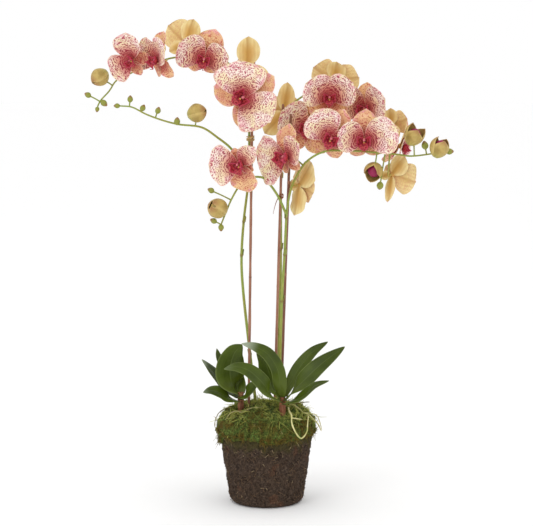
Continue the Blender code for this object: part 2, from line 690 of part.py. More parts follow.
def build():
    """Model every piece of the orchid."""
    clear_scene()
    plant = collection("orchid")
    cutters = collection("cutters")
    petal = material("petal_cream", PETAL_CREAM, 0.6)
    bud_look = material("bud_olive", BUD_OLIVE, 0.55)
    stem = material("spike_green", SPIKE_GREEN, 0.5)
    wood = material("stake_brown", STAKE_BROWN, 0.6)
    leaf_look = material("leaf_green", LEAF_GREEN, 0.35)
    root_look = material("root_cream", ROOT_CREAM, 0.6)

    stakes = {}
    for name, points in STAKES.items():
        stakes[name] = rooted(points)
        finish(tube(name, stakes[name], STAKE_RADIUS, STAKE_RADIUS, plant), wood)
        make_cutter(name, stakes[name], STAKE_RADIUS, cutters)

    spikes = {}
    branches = {}
    for name, points in SPIKES.items():
        foot, *rest = rooted(points)
        spikes[name] = [foot] + smooth_path(rest, STEM_STEP)
        branches[name] = []
        if name in BRANCHES:
            branches[name] = smooth_path([placed(point) for point in BRANCHES[name]], STEM_STEP)
        make_cutter(name, spikes[name], SPIKE_RADIUS, cutters)
        finish(make_spike(name, spikes[name], branches[name], plant), stem)

    for name in CROWNS:
        path, item = make_crown(name, plant)
        finish(item, material(name, CROWN_BROWN, 0.6))
        make_cutter(name, path, CROWN_RADIUS, cutters, CROWN_RESOLUTION)
    for leaf in LEAVES:
        finish(make_leaf(leaf, plant), leaf_look)
    for name, points in ROOTS.items():
        finish(make_root(name, points, plant), root_look)

    for bloom in BLOOMS:
        finish(make_bloom(bloom, plant), petal)
    for name, bud in LARGE_BUDS.items():
        spot = placed(bud.spot)
        near = [path for path in (spikes[bud.spike], branches[bud.spike]) if path]
        carrier = min(near, key=lambda path: (nearest_on(path, spot) - spot).length)
        finish(make_large_bud(name, bud, carrier, plant), bud_look)

    tie_look = material("tie_brown", TIE_BROWN, 0.8)
    for name, (stake, spike, height) in TIES.items():
        finish(make_tie(name, stakes[stake], spikes[spike], height * MM, plant), tie_look)

    finish(make_soil(plant, cutters), material("soil_brown", BLACK_BARK, 0.95))
    finish(make_moss(plant, cutters), material("moss_green", MOSS_GREEN, 0.95))


build()
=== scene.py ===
"""Orchid arrangement in a soil plug: finished flowers, leaves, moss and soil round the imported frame.

Laid out as an add-on and run as a script. Lengths are metres unless a name or a comment says otherwise,
+Z is up and -Y is the front.
"""

import math
from collections import namedtuple

import bpy
import numpy as np
from bpy.props import FloatProperty, FloatVectorProperty, IntProperty, PointerProperty
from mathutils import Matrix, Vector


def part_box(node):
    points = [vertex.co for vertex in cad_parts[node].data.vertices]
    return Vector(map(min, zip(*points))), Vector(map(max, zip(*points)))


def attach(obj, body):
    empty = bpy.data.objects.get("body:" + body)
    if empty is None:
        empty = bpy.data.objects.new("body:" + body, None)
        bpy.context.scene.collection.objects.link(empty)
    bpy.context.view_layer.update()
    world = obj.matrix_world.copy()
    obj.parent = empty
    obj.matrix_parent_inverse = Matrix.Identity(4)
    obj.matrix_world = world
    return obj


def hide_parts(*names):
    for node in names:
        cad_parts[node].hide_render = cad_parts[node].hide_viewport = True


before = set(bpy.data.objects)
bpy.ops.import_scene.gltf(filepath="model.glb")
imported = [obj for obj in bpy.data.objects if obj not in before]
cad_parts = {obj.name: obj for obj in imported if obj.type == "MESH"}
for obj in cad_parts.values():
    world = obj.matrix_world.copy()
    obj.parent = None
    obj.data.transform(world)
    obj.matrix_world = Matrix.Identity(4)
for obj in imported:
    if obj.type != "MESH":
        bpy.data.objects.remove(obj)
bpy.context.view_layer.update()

bl_info = {
    "name": "Orchid Arrangement",
    "version": (1, 0, 0),
    "blender": (4, 5, 0),
    "location": "View3D > Sidebar > Orchid",
    "description": "Builds the flowers, leaves, stems, moss and soil of an orchid arrangement",
    "category": "Object",
}

MM = 0.001
SOIL_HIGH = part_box("soil_plug")[1]
MOSS_LOW, MOSS_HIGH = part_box("moss_pad")
SOIL_HEIGHT = SOIL_HIGH.z
SOIL_TOP_RADIUS = SOIL_HIGH.x
SOIL_BASE_RADIUS = 0.060
MOSS_RISE = MOSS_HIGH.z - SOIL_HEIGHT
MOSS_SKIRT = SOIL_HEIGHT - MOSS_LOW.z
MOSS_THICKNESS = 0.005
MOSS_FULLNESS = 4.0
SOCKET_DEPTH = 0.035
STAKE_RADIUS = 0.0027
SPIKE_RADIUS = 0.0027
SPIKE_TIP_RADIUS = 0.0012
PEDICEL_RADIUS = 0.0013
CROWN_RADIUS = 0.0062
CROWN_TOP_RADIUS = 0.0048
HUB_RADIUS = 0.0048
GAP = 0.0003
# How far the moss dips round the leaf stubs.
CROWN_DIP = 0.009
# A bud opened less than this keeps its tip shut.
BUD_AJAR = 0.15
# Bearings in degrees of the bracts on a stem's joints, in turn from the lowest.
BRACT_BEARINGS = (-120, 30, -60, 160)
# Radius of a finished cane as a share of STAKE_RADIUS.
CANE_SHARE = 0.84
# Knots up a stake, as shares of its height.
KNOTS = (0.18, 0.47, 0.74)
# Radius of the helix that a fully curled strand of moss winds round.
CURL_RADIUS = 0.004
# Places of the materials in a flower, and of the second one in a stem and in the plug.
PETAL, SEPAL, LIP = range(3)
SMALL_BUD = FIBRE = 1
UP = np.array((0.0, 0.0, 1.0))

Bloom = namedtuple("Bloom", "name spike spot azimuth elevation roll size cup shape sweep via",
                   defaults=({}, 0.45, None))
Bud = namedtuple("Bud", "spike spot size opening way", defaults=(0.0, None))
Leaf = namedtuple("Leaf", "name crown bearing tier width fold face points")

# Points in millimetres: x, y, height above the soil's top.
SPIKES = {
    "left_spike": [
        (-19, 30, 47), (-29, 32, 135), (-38, 28, 220), (-41, 20, 278), (-37, 8, 343), (-29, -1, 410),
        (-28, -1, 458), (-29, -2, 507), (-35, -6, 555), (-52, -10, 590), (-82, -12, 606),
        (-114, -15, 609), (-149, -20, 606), (-178, -22, 598), (-203, -25, 588), (-225, -28, 577),
        (-240, -30, 569), (-251, -30, 553), (-264, -30, 539), (-269, -30, 530)],
    "middle_spike": [
        (17, 58, 45), (20, 56, 120), (23, 52, 220), (24, 48, 300), (24, 46, 398), (27, 46, 473),
        (38, 48, 522), (63, 42, 546), (96, 28, 554), (128, 18, 546), (149, 14, 537), (171, 12, 524),
        (192, 12, 509)],
    "right_spike": [
        (20, -7, 55), (22, -13, 120), (25, -20, 220), (29, -28, 290), (32, -36, 354), (37, -48, 390),
        (44, -60, 412), (62, -76, 442), (90, -84, 459), (123, -85, 461), (157, -86, 459),
        (204, -85, 455), (227, -80, 452), (257, -75, 455), (281, -70, 459)],
}
BRANCHES = {
    "left_spike": [
        (-28, -1, 423), (-33, -14, 431), (-42, -30, 443), (-59, -45, 465), (-79, -50, 481),
        (-96, -50, 493), (-111, -50, 498), (-140, -50, 501), (-167, -50, 508), (-191, -50, 517),
        (-213, -50, 528), (-232, -50, 530)],
    "middle_spike": [],
    "right_spike": [
        (32, -36, 356), (17, -50, 389), (-1, -57, 413), (-12, -60, 418), (-26, -60, 416),
        (-42, -65, 405), (-55, -70, 384), (-64, -70, 363), (-72, -70, 343)],
}
# Heights above the soil's top where a stem has a joint ring.
JOINTS = {
    "left_spike": (120, 286, 341, 452),
    "middle_spike": (150, 292, 410),
    "right_spike": (90, 215, 292, 350),
}
STAKES = {
    "left_stake": [(-29, -6, 49), (-23, -10, 539)],
    "middle_stake": [(14, 50, 49), (27, 22, 532)],
    "right_stake": [(24, 2, 52), (39, -30, 517)],
}
CROWNS = {"left_crown": (-42, -2, 61), "right_crown": (26, -32, 64)}

# Facing azimuth 0 looks out along -Y and grows toward +X; roll turns clockwise seen from the front.
# Cup is how far the petals come forward, and sweep how far the lower sepals go back. Shape gives a petal
# or sepal its own turn in degrees, length and width, and via is a point that the stalk bends round.
BLOOMS = [
    Bloom("left_flower_1", "left_spike", (-37, -60, 543), -10, 0, 65, 1.00, 0.20,
          {"low_right": (-28, 0.95, 1.0), "top": (-8, 1.05, 1.0), "left": (0, 1.0, 1.1)}),
    Bloom("left_flower_2", "left_spike", (-30, 32, 593), 175, 0, 0, 0.84, 0.20,
          {"right": (0, 0.4, 1.0), "left": (-78, 1.2, 0.55)}),
    Bloom("left_flower_3", "left_spike", (-98, -38, 604), -10, -15, 15, 0.80, 0.34,
          {"top": (6, 1.12, 1.1), "right": (0, 0.86, 1.0), "low_left": (16, 0.85, 1.0),
           "low_right": (0, 0.65, 1.0)}),
    Bloom("left_flower_4", "left_spike", (-131, 34, 630), 165, 0, -20, 0.72, 0.20,
          {"left": (0, 0.7, 1.0), "low_left": (0, 0.7, 1.0), "low_right": (0, 0.7, 1.0)}),
    Bloom("left_flower_5", "left_spike", (-170, -72, 601), -54, 0, 0, 0.72, 0.50,
          {"top": (14, 1.15, 1.0), "right": (-12, 1.1, 0.8), "left": (6, 1.0, 1.0),
           "low_left": (0, 0.8, 1.0), "low_right": (0, 0.85, 1.0)}),
    Bloom("left_flower_6", "left_spike", (-212, -66, 602), -24, -15, -55, 0.64, 0.40,
          {"top": (0, 0.5, 1.0), "left": (6, 1.05, 0.9), "right": (-12, 1.22, 0.80),
           "low_left": (0, 0.8, 1.0), "low_right": (0, 0.8, 1.0)}),
    Bloom("middle_flower_1", "middle_spike", (29, 76, 518), 175, 0, 0, 0.86, 0.20,
          {"top": (-10, 1.0, 0.72), "left": (0, 0.6, 1.0), "right": (0, 0.6, 1.0)}),
    Bloom("middle_flower_2", "middle_spike", (66, -4, 492), -10, 0, 10, 0.86, 0.20),
    Bloom("middle_flower_3", "middle_spike", (100, -36, 542), 0, 0, 0, 0.75, 0.45,
          {"top": (-18, 0.9, 1.0), "left": (11, 1.0, 1.0), "right": (-11, 1.0, 1.0)}),
    Bloom("middle_flower_4", "middle_spike", (112, 66, 568), 165, 30, -15, 0.70, 0.20),
    Bloom("middle_flower_5", "middle_spike", (160, -16, 524), -35, 0, 0, 0.76, 0.45),
    Bloom("middle_flower_6", "middle_spike", (203, 30, 496), 150, 0, 0, 0.50, 0.20),
    Bloom("middle_flower_7", "middle_spike", (216, -5, 465), 75, -20, 0, 0.72, 0.35),
    Bloom("right_flower_1", "right_spike", (32, -80, 450), -46, 0, 0, 0.94, 0.25,
          {"left": (-32, 1.08, 1.0), "right": (-10, 0.7, 1.0), "low_left": (0, 0.6, 1.0),
           "low_right": (0, 0.5, 1.0)}),
    Bloom("right_flower_2", "right_spike", (101, -87, 480), -5, -10, 24, 0.88, 0.25,
          {"left": (14, 1.0, 0.95), "right": (0, 0.5, 1.0), "low_left": (0, 0.75, 1.0),
           "low_right": (0, 0.75, 1.0)}, 0.45, (125, -74, 468)),
    Bloom("right_flower_3", "right_spike", (153, -93, 478), -8, -12, 0, 0.86, 0.34,
          {"left": (-4, 0.84, 0.98), "right": (4, 1.14, 0.84), "low_left": (0, 0.8, 1.0),
           "low_right": (0, 0.8, 1.0)}, 0.75, (197, -76, 471)),
    Bloom("right_flower_4", "right_spike", (200, -48, 421), 150, 0, -40, 0.68, 0.25,
          {"right": (15, 0.45, 1.0), "low_right": (0, 0.5, 1.0), "low_left": (0, 1.15, 0.50)}),
    Bloom("right_flower_5", "right_spike", (53, -36, 403), 124, 0, -45, 0.88, 0.25,
          {"right": (0, 0.6, 1.0), "left": (0, 0.62, 1.0), "low_right": (0, 0.5, 1.0), "top": (0, 1.1, 0.9),
           "low_left": (0, 1.0, 1.1)}, 0.12),
    Bloom("branch_flower", "right_spike", (-42, -99, 440), -25, -12, -20, 0.84, 0.34,
          {"top": (0, 0.55, 1.0), "low_left": (-28, 1.05, 1.2), "low_right": (0, 0.5, 1.0),
           "right": (-4, 0.9, 0.55)}, 0.10),
]
# Petals and sepals of a flower: name, kind, clockwise angle, length and width as shares of the flower's
# width, and a shift along its axis.
TEPALS = [
    ("top", "sepal", 0, 0.47, 0.40, -0.0013),
    ("low_left", "sepal", -138, 0.45, 0.38, -0.0018),
    ("low_right", "sepal", 138, 0.45, 0.38, -0.0018),
    ("left", "petal", -68, 0.49, 0.65, 0.0015),
    ("right", "petal", 68, 0.49, 0.65, 0.0015),
]
LARGE_BUDS = {
    "left_tip_bud": Bud("left_spike", (-265, -36, 575), 28, 0.0, (-0.70, -0.40, -0.60)),
    "left_branch_bud": Bud("left_spike", (-110, -50, 519), 29, 0.0, (0.90, -0.30, 0.25)),
    "front_branch_bud": Bud("right_spike", (-77, -74, 369), 31, 0.10, (-0.55, -0.65, 0.35)),
    "right_low_bud": Bud("right_spike", (170, -70, 429), 27, 0.62, (-0.35, -0.80, -0.48)),
    "right_opening_bud": Bud("right_spike", (231, -80, 483), 29, 0.55, (0.40, -0.40, 0.80)),
    "right_tip_bud": Bud("right_spike", (270, -94, 465), 29, 0.18, (0.35, -0.30, 0.90)),
}
SMALL_BUDS = [
    Bud("left_spike", (-259, -30, 534), 10), Bud("left_spike", (-285, -30, 547), 9),
    Bud("left_spike", (-270, -30, 524), 7),
    Bud("left_spike", (-142, -50, 506), 10), Bud("left_spike", (-172, -50, 523), 9),
    Bud("left_spike", (-196, -50, 527), 9), Bud("left_spike", (-216, -50, 541), 9),
    Bud("left_spike", (-237, -50, 530), 8),
    Bud("right_spike", (-88, -66, 397), 9), Bud("right_spike", (-84, -70, 349), 9),
    Bud("right_spike", (-72, -70, 338), 9),
    Bud("right_spike", (249, -75, 469), 11), Bud("right_spike", (289, -70, 459), 10),
    Bud("right_spike", (180, -60, 404), 11),
]
LEAVES = [
    Leaf("left_leaf_1", "left_crown", 185, 56, 50, 0.15, (0.3, -1.0, 0.2),
         [(-57, -4, 74), (-60, -4, 100), (-53, -6, 126), (-40, -11, 142)]),
    Leaf("left_leaf_2", "left_crown", 155, 51, 29, 0.20, (0.5, -0.5, 0.8),
         [(-62, 9, 62), (-78, 13, 80), (-93, 9, 98), (-106, 0, 115)]),
    Leaf("left_leaf_3", "left_crown", 212, 46, 30, 0.20, (0.0, -0.6, 0.9),
         [(-60, -14, 53), (-75, -20, 63), (-90, -24, 68), (-103, -25, 65)]),
    Leaf("left_leaf_4", "left_crown", 104, 56, 24, 0.20, (0.5, -0.7, 0.5),
         [(-53, 23, 74), (-67, 37, 92), (-79, 44, 112), (-83, 46, 126)]),
    Leaf("left_leaf_5", "left_crown", 290, 50, 24, 0.25, (-0.2, -0.8, 0.7),
         [(-35, -20, 60), (-27, -31, 70), (-19, -38, 80), (-12, -42, 89)]),
    Leaf("left_leaf_6", "left_crown", 70, 58, 18, 0.20, (-1.0, -0.4, 0.2),
         [(-40, 12, 74), (-41, 23, 90), (-43, 32, 106), (-45, 36, 118)]),
    Leaf("right_leaf_1", "right_crown", 250, 60, 25, 0.20, (0.5, -1.0, 0.3),
         [(22, -44, 80), (17, -50, 108), (2, -52, 132), (-18, -51, 144), (-40, -48, 149)]),
    Leaf("right_leaf_2", "right_crown", 178, 56, 36, 0.15, (0.3, -1.0, 0.5),
         [(12, -34, 76), (5, -33, 96), (-3, -29, 118), (-16, -24, 133)]),
    Leaf("right_leaf_3", "right_crown", 212, 51, 30, 0.20, (0.2, -0.8, 0.7),
         [(8, -54, 65), (-8, -65, 89), (-28, -69, 108), (-48, -67, 114), (-68, -63, 110)]),
    Leaf("right_leaf_4", "right_crown", 45, 59, 24, 0.25, (-0.4, -1.0, 0.5),
         [(39, -17, 78), (55, -4, 103), (76, 5, 127), (101, 10, 143)]),
    Leaf("right_leaf_5", "right_crown", 338, 53, 32, 0.20, (-0.5, -1.0, 0.6),
         [(43, -40, 69), (62, -43, 89), (90, -39, 115), (127, -29, 141)]),
    Leaf("right_leaf_6", "right_crown", 312, 47, 24, 0.30, (-0.4, -0.5, 0.9),
         [(43, -56, 57), (59, -68, 67), (78, -74, 85), (100, -74, 93)]),
    Leaf("right_leaf_7", "right_crown", 112, 60, 18, 0.15, (0.3, -1.0, 0.4),
         [(13, -15, 78), (1, -3, 100), (-9, 8, 122), (-19, 13, 134)]),
]
# How far a painted sheen of the sky whitens a leaf's colour toward its tip, and the share for the leaves not
# named.
LEAF_PAINTED_SHEEN = {"left_leaf_2": 0.75, "left_leaf_3": 0.62, "right_leaf_1": 0.9, "right_leaf_3": 0.55}
OTHER_PAINTED_SHEEN = 0.35
# Bearing in degrees, reach over the moss (1 is the rim, 2 the hem), height off the moss in millimetres.
ROOTS = {
    "left_root_loop": [
        (182, 0.70, 0), (183, 0.80, 0), (188, 0.92, 4), (193, 0.98, 4), (197, 1.0, 1), (199, 1.1, 0)],
    "left_root_long": [
        (210, 0.92, 0), (212, 0.83, 0), (220, 0.76, 0), (230, 0.73, 0), (236, 0.61, 0), (250, 0.55, 0),
        (265, 0.40, 0)],
    "right_root_loop": [
        (314, 0.62, 1), (303, 0.84, 4), (299, 0.94, 5), (302, 0.99, 5), (309, 1.0, 5), (317, 0.99, 5),
        (323, 0.945, 4), (329, 0.91, 3), (335, 0.88, 0)],
    "right_root_outer": [
        (334, 0.50, 0), (336, 0.60, 0), (332, 0.72, 0), (332, 0.82, 0), (341, 0.91, 0), (348, 0.98, 2),
        (351, 1.0, 6)],
    "right_root_twig": [(352, 0.50, 0), (345, 0.78, 15)],
}
# Strands of each root: route, radius in metres, and a tone that runs from 0, cream, to 1, olive brown.
ROOT_STRANDS = {
    "left_root_loop": [(ROOTS["left_root_loop"], 0.0008, 0.9)],
    "left_root_long": [(ROOTS["left_root_long"], 0.0008, 0.5)],
    "right_root_loop": [(ROOTS["right_root_loop"], 0.0014, 0.0),
                        ([(302, 0.88, 4), (308, 0.90, 4), (315, 0.915, 3)], 0.0010, 0.1)],
    "right_root_outer": [(ROOTS["right_root_outer"], 0.0014, 0.2),
                         ([(332, 0.82, 0), (340, 0.88, 3), (350, 0.93, 6), (357, 1.0, 6)], 0.0010, 0.3)],
    "right_root_twig": [(ROOTS["right_root_twig"], 0.0010, 1.0)],
}
# Ties: stake, stem, height above the soil's top, turns, tone, and the loose ends' points.
TIES = {
    "left_tie": ("left_stake", "left_spike", 477, 4, 0.3, []),
    "middle_tie": ("middle_stake", "middle_spike", 380, 3, 0.8,
                   [[(20, 28, 380), (16, 26, 372), (13, 26, 362), (11, 27, 352)]]),
}


# ---------------------------------------------------------------- settings

def paint(red, green, blue):
    """Linear colour of a display colour given from 0 to 255: ((c/255 + 0.055) / 1.055) ^ 2.4."""
    share = np.array((red, green, blue)) / 255
    linear = np.where(share <= 0.04045, share / 12.92, ((share + 0.055) / 1.055) ** 2.4)
    return tuple(float(value) for value in linear)


def colour_setting(name, description, red, green, blue):
    """Colour property with its default given as a display colour."""
    return FloatVectorProperty(name=name, description=description, subtype="COLOR", size=3, min=0.0,
                               max=1.0, default=paint(red, green, blue))


def length_setting(name, description, default):
    """Length property in metres."""
    return FloatProperty(name=name, description=description, default=default, min=0.0, unit="LENGTH",
                         subtype="DISTANCE", precision=4)


class OrchidBloomSettings(bpy.types.PropertyGroup):
    """Sizes and colours of the flowers and buds."""
    flower_width: length_setting("Flower width", "Width of a flower of size 1", 0.118)
    tepal_thickness: length_setting("Petal thickness", "Thickness in the middle of a petal", 0.0009)
    ring_spacing: length_setting("Ring spacing", "Spacing of the speckle rings on a petal", 0.0036)
    cream: colour_setting("Cream", "Ground colour of a petal", 246, 230, 216)
    yellow: colour_setting("Pale yellow", "Warm patches of a petal", 240, 226, 186)
    ink: colour_setting("Ink", "Colour of the speckles", 134, 34, 52)
    crimson: colour_setting("Crimson", "Middle of the flower", 158, 34, 42)
    gold: colour_setting("Gold", "Front of a sepal", 224, 172, 132)
    ochre: colour_setting("Ochre", "Backs of sepals", 214, 170, 92)
    lip_red: colour_setting("Lip red", "Lip of the flower", 118, 10, 30)
    lip_pink: colour_setting("Lip pink", "Light parts of the lip", 196, 58, 92)
    bud_olive: colour_setting("Bud olive", "Skin of a bud", 190, 164, 94)


class OrchidGreenSettings(bpy.types.PropertyGroup):
    """Colours of leaves, stems and stakes."""
    leaf_green: colour_setting("Leaf green", "Upper side of a leaf", 52, 66, 4)
    leaf_light: colour_setting("Leaf light green", "Base and underside of a leaf", 104, 118, 44)
    leaf_edge: colour_setting("Leaf edge", "Margin of a leaf", 150, 162, 96)
    stem_green: colour_setting("Stem green", "Flower stems", 132, 150, 62)
    cane_red: colour_setting("Cane red", "Left and middle stakes", 178, 128, 104)
    cane_dark: colour_setting("Cane brown", "Right stake", 112, 68, 56)
    crown_brown: colour_setting("Crown brown", "Stubs that the leaves grow from", 172, 112, 82)
    root_cream: colour_setting("Root cream", "Aerial roots", 222, 214, 152)


class OrchidPlugSettings(bpy.types.PropertyGroup):
    """Sizes and colours of the moss and the soil."""
    tuft_count: IntProperty(name="Tufts", description="Number of fine moss tufts", default=260, min=10)
    tuft_strands: IntProperty(name="Strands", description="Strands in a tuft", default=14, min=1)
    curl_count: IntProperty(name="Curls", description="Number of tufts of thick curled moss", default=360,
                            min=10)
    curl_strands: IntProperty(name="Curl strands", description="Strands in a tuft of curled moss", default=7,
                              min=1)
    strand_length: length_setting("Strand length", "Length of a long moss strand", 0.019)
    moss_bright: colour_setting("Bright moss", "Sunlit moss", 204, 206, 106)
    moss_green: colour_setting("Green moss", "Moss in the middle", 112, 134, 64)
    moss_brown: colour_setting("Brown moss", "Dry moss along the rim", 120, 98, 40)
    straw: colour_setting("Straw", "Dry stalks", 206, 186, 130)
    # Dark soil lies in the hollows of the soil's bump, so it is partly the peat's colour and partly painted
    # shade.
    soil_dark: colour_setting("Dark soil", "Hollows of the soil", 48, 38, 32)
    soil_light: colour_setting("Light soil", "Crumbs of the soil", 112, 94, 80)


class OrchidStageSettings(bpy.types.PropertyGroup):
    """Camera, lights and floor."""
    distance: length_setting("Camera distance", "Camera to the plug's axis", 2.8)
    height: length_setting("Camera height", "Camera above the floor", 0.70)
    lens: FloatProperty(name="Lens", description="Focal length in millimetres", default=116.8, min=1.0)
    pitch: FloatProperty(name="Camera turn", description="Turn about X from looking straight down",
                         default=math.radians(83.768), subtype="ANGLE")
    key_power: FloatProperty(name="Key light", description="Power of the key light in watts", default=16.0,
                             min=0.0)
    sky: FloatProperty(name="Room light", description="Strength of the even room light", default=1.0,
                       min=0.0)
    floor_grey: colour_setting("Floor", "Colour of the floor", 255, 255, 255)


def blooms_set():
    """Settings of the flowers."""
    return bpy.context.scene.orchid_blooms


def greens_set():
    """Settings of leaves, stems and stakes."""
    return bpy.context.scene.orchid_greens


def plug_set():
    """Settings of moss and soil."""
    return bpy.context.scene.orchid_plug


# ---------------------------------------------------------------- vectors and paths

def unit(vectors):
    """Each vector divided by its length."""
    return vectors / np.maximum(np.linalg.norm(vectors, axis=-1, keepdims=True), 1e-12)


def ease(value, low, high):
    """3 s^2 - 2 s^3 of the share s of the way from low to high, held to 0..1."""
    share = np.clip((np.asarray(value, float) - low) / (high - low), 0, 1)
    return share * share * (3 - 2 * share)


def spot(point):
    """A listed point, in millimetres above the soil's top, as metres in the frame."""
    return np.array(point, float) * MM + (0, 0, SOIL_HEIGHT)


def turn_z(degrees):
    """Matrix that turns about Z."""
    c, s = math.cos(math.radians(degrees)), math.sin(math.radians(degrees))
    return np.array(((c, -s, 0), (s, c, 0), (0, 0, 1)))


def turn_x(degrees):
    """Matrix that turns about X."""
    c, s = math.cos(math.radians(degrees)), math.sin(math.radians(degrees))
    return np.array(((1, 0, 0), (0, c, -s), (0, s, c)))


def smooth_path(points, step):
    """Catmull-Rom curve 0.5 (2b + (c-a)t + (2a-5b+4c-d)t^2 + (3b-a-3c+d)t^3) through the points, evenly
    spaced by length."""
    p = np.asarray(points, float)
    ends = np.vstack((2 * p[0] - p[1], p, 2 * p[-1] - p[-2]))
    a, b, c, d = (ends[start:len(p) - 1 + start, None] for start in range(4))
    t = np.linspace(0, 1, 24, endpoint=False)[None, :, None]
    fine = 0.5 * (2 * b + (c - a) * t + (2 * a - 5 * b + 4 * c - d) * t ** 2
                  + (3 * b - a - 3 * c + d) * t ** 3)
    fine = np.vstack((fine.reshape(-1, 3), p[-1:]))
    walked = lengths_along(fine)
    at = np.linspace(0, walked[-1], max(3, int(round(walked[-1] / step)) + 1))
    return np.stack([np.interp(at, walked, fine[:, axis]) for axis in range(3)], axis=1)


def lengths_along(path):
    """Length walked along a path at each of its points."""
    return np.concatenate(([0.0], np.cumsum(np.linalg.norm(np.diff(path, axis=0), axis=1))))


def nearest_on(path, point):
    """Closest point of a finely sampled path to a point."""
    return path[np.argmin(np.linalg.norm(path - point, axis=1))]


def frames_along(path):
    """Unit tangent, and two axes across it that keep their heading: ref x tangent, tangent x that."""
    tangent = unit(np.gradient(path, axis=0))
    ref = np.eye(3)[np.argmin(np.abs(tangent).max(axis=0))]
    across = unit(np.cross(ref, tangent))
    return tangent, across, np.cross(tangent, across)


def rings_on(path, radius, sides=10, lobes=0.0):
    """Rings carried along a path: centre + r (1 + lobes cos 3a) (cos a across + sin a up)."""
    across, up = frames_along(path)[1:]
    a = np.linspace(0, 2 * math.pi, sides, endpoint=False)
    r = np.broadcast_to(radius, (len(path),))[:, None] * (1 + lobes * np.cos(3 * a))
    return (path[:, None] + (r * np.cos(a))[..., None] * across[:, None]
            + (r * np.sin(a))[..., None] * up[:, None])


def swell(points, wavelength, seed, terms=14):
    """Smooth random value about 0 at each point: the mean of sines of random waves, times the root of
    twice their number, so it is mostly within -1.5 and 1.5."""
    rng = np.random.default_rng(seed)
    waves = unit(rng.normal(size=(terms, 3))) * (2 * math.pi / wavelength)
    waves *= rng.uniform(0.7, 1.4, (terms, 1))
    phase = rng.uniform(0, 2 * math.pi, terms)
    return np.sin(points @ waves.T + phase).mean(axis=-1) * math.sqrt(2 * terms)


# ---------------------------------------------------------------- meshes

class Piece:
    """Surfaces gathered into one mesh, with the values that its materials read at each point."""

    def __init__(self):
        self.points, self.place, self.tone, self.edge = [], [], [], []
        self.faces, self.looks, self.count = [], [], 0

    def take(self, points, faces, look, place, tone, edge):
        """Add points, their values and lists of faces that index them."""
        total = len(points)
        self.points.append(points)
        self.place.append(np.broadcast_to(place, (total, 3)))
        self.tone.append(np.broadcast_to(tone, (total,)))
        self.edge.append(np.broadcast_to(edge, (total,)))
        for block in faces:
            self.faces.append(block + self.count)
            self.looks.append(np.full(len(block), look))
        self.count += total

    def closed(self, rings, look=0, place=(0, 0, 1), tone=0.5, edge=1.0):
        """Close n rings of m points, counterclockwise about the way they run, with a pole at each end."""
        n, m = rings.shape[:2]
        index = np.arange(n * m).reshape(n, m)
        beside = np.roll(index, -1, axis=1)
        quads = np.stack((index[:-1], beside[:-1], beside[1:], index[1:]), axis=-1).reshape(-1, 4)
        poles = np.stack((rings[0].mean(axis=0), rings[-1].mean(axis=0)))
        start = np.stack((np.full(m, n * m), beside[0], index[0]), axis=-1)
        end = np.stack((np.full(m, n * m + 1), index[-1], beside[-1]), axis=-1)
        values = []
        for value, shape in ((place, (n, m, 3)), (tone, (n, m)), (edge, (n, m))):
            full = np.broadcast_to(value, shape)
            ends = np.stack((full[0].mean(axis=0), full[-1].mean(axis=0)))
            values.append(np.concatenate((full.reshape(n * m, *shape[2:]), ends)))
        self.take(np.vstack((rings.reshape(-1, 3), poles)), (quads, start, end), look, *values)

    def sheet(self, points, thickness, look=0, place=None, tone=0.5, edge=1.0):
        """Give an n by m sheet two sides, thickness apart along its normals, and a rim. The front side's
        place keeps z = 1 and the back side's has z = 0."""
        n, m = points.shape[:2]
        along, across = np.gradient(points, axis=0), np.gradient(points, axis=1)
        normal = unit(np.cross(along, across))
        half = np.broadcast_to(thickness, (n, m))[..., None] / 2
        index = np.arange(n * m).reshape(n, m)
        front = np.stack((index[:-1, :-1], index[1:, :-1], index[1:, 1:], index[:-1, 1:]), axis=-1)
        front = front.reshape(-1, 4)
        back = front[:, ::-1] + n * m
        loop = np.concatenate((index[:-1, 0], index[-1, :-1], index[:0:-1, -1], index[0, :0:-1]))
        ahead = np.roll(loop, -1)
        rim = np.stack((ahead, loop, loop + n * m, ahead + n * m), axis=-1)
        base = np.zeros((n, m, 3)) if place is None else np.array(np.broadcast_to(place, (n, m, 3)))
        sides = []
        for flag in (1.0, 0.0):
            base[..., 2] = flag
            sides.append(base.reshape(-1, 3).copy())
        both = np.vstack(((points + normal * half).reshape(-1, 3), (points - normal * half).reshape(-1, 3)))
        self.take(both, (front, back, rim), look, np.vstack(sides),
                  np.tile(np.broadcast_to(tone, (n, m)).ravel(), 2),
                  np.tile(np.broadcast_to(edge, (n, m)).ravel(), 2))

    def finish(self, name, materials, node):
        """Make the object at the origin, give it its materials, hang it on the root body and hide its CAD
        node.
        """
        mesh = bpy.data.meshes.new(name)
        mesh.vertices.add(self.count)
        mesh.vertices.foreach_set("co", np.vstack(self.points).astype(np.float32).ravel())
        corners = np.concatenate([block.ravel() for block in self.faces]).astype(np.int32)
        sizes = np.concatenate([np.full(len(block), block.shape[1]) for block in self.faces])
        mesh.loops.add(len(corners))
        mesh.loops.foreach_set("vertex_index", corners)
        mesh.polygons.add(len(sizes))
        starts = np.concatenate(([0], np.cumsum(sizes)[:-1])).astype(np.int32)
        mesh.polygons.foreach_set("loop_start", starts)
        for material in materials:
            mesh.materials.append(material)
        mesh.polygons.foreach_set("material_index", np.concatenate(self.looks).astype(np.int32))
        mesh.update(calc_edges=True)
        mesh.shade_smooth()
        for label, kind, key, values in (
                ("place", "FLOAT_VECTOR", "vector", np.vstack(self.place)),
                ("tone", "FLOAT", "value", np.concatenate(self.tone)),
                ("edge", "FLOAT", "value", np.concatenate(self.edge))):
            attribute = mesh.attributes.new(label, kind, "POINT")
            attribute.data.foreach_set(key, values.astype(np.float32).ravel())
        if mesh.validate():
            raise RuntimeError(f"{name} has faces that Blender had to mend")
        item = bpy.data.objects.new(name, mesh)
        bpy.context.scene.collection.objects.link(item)
        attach(item, "root")
        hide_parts(node)
        return item


# ---------------------------------------------------------------- shaders

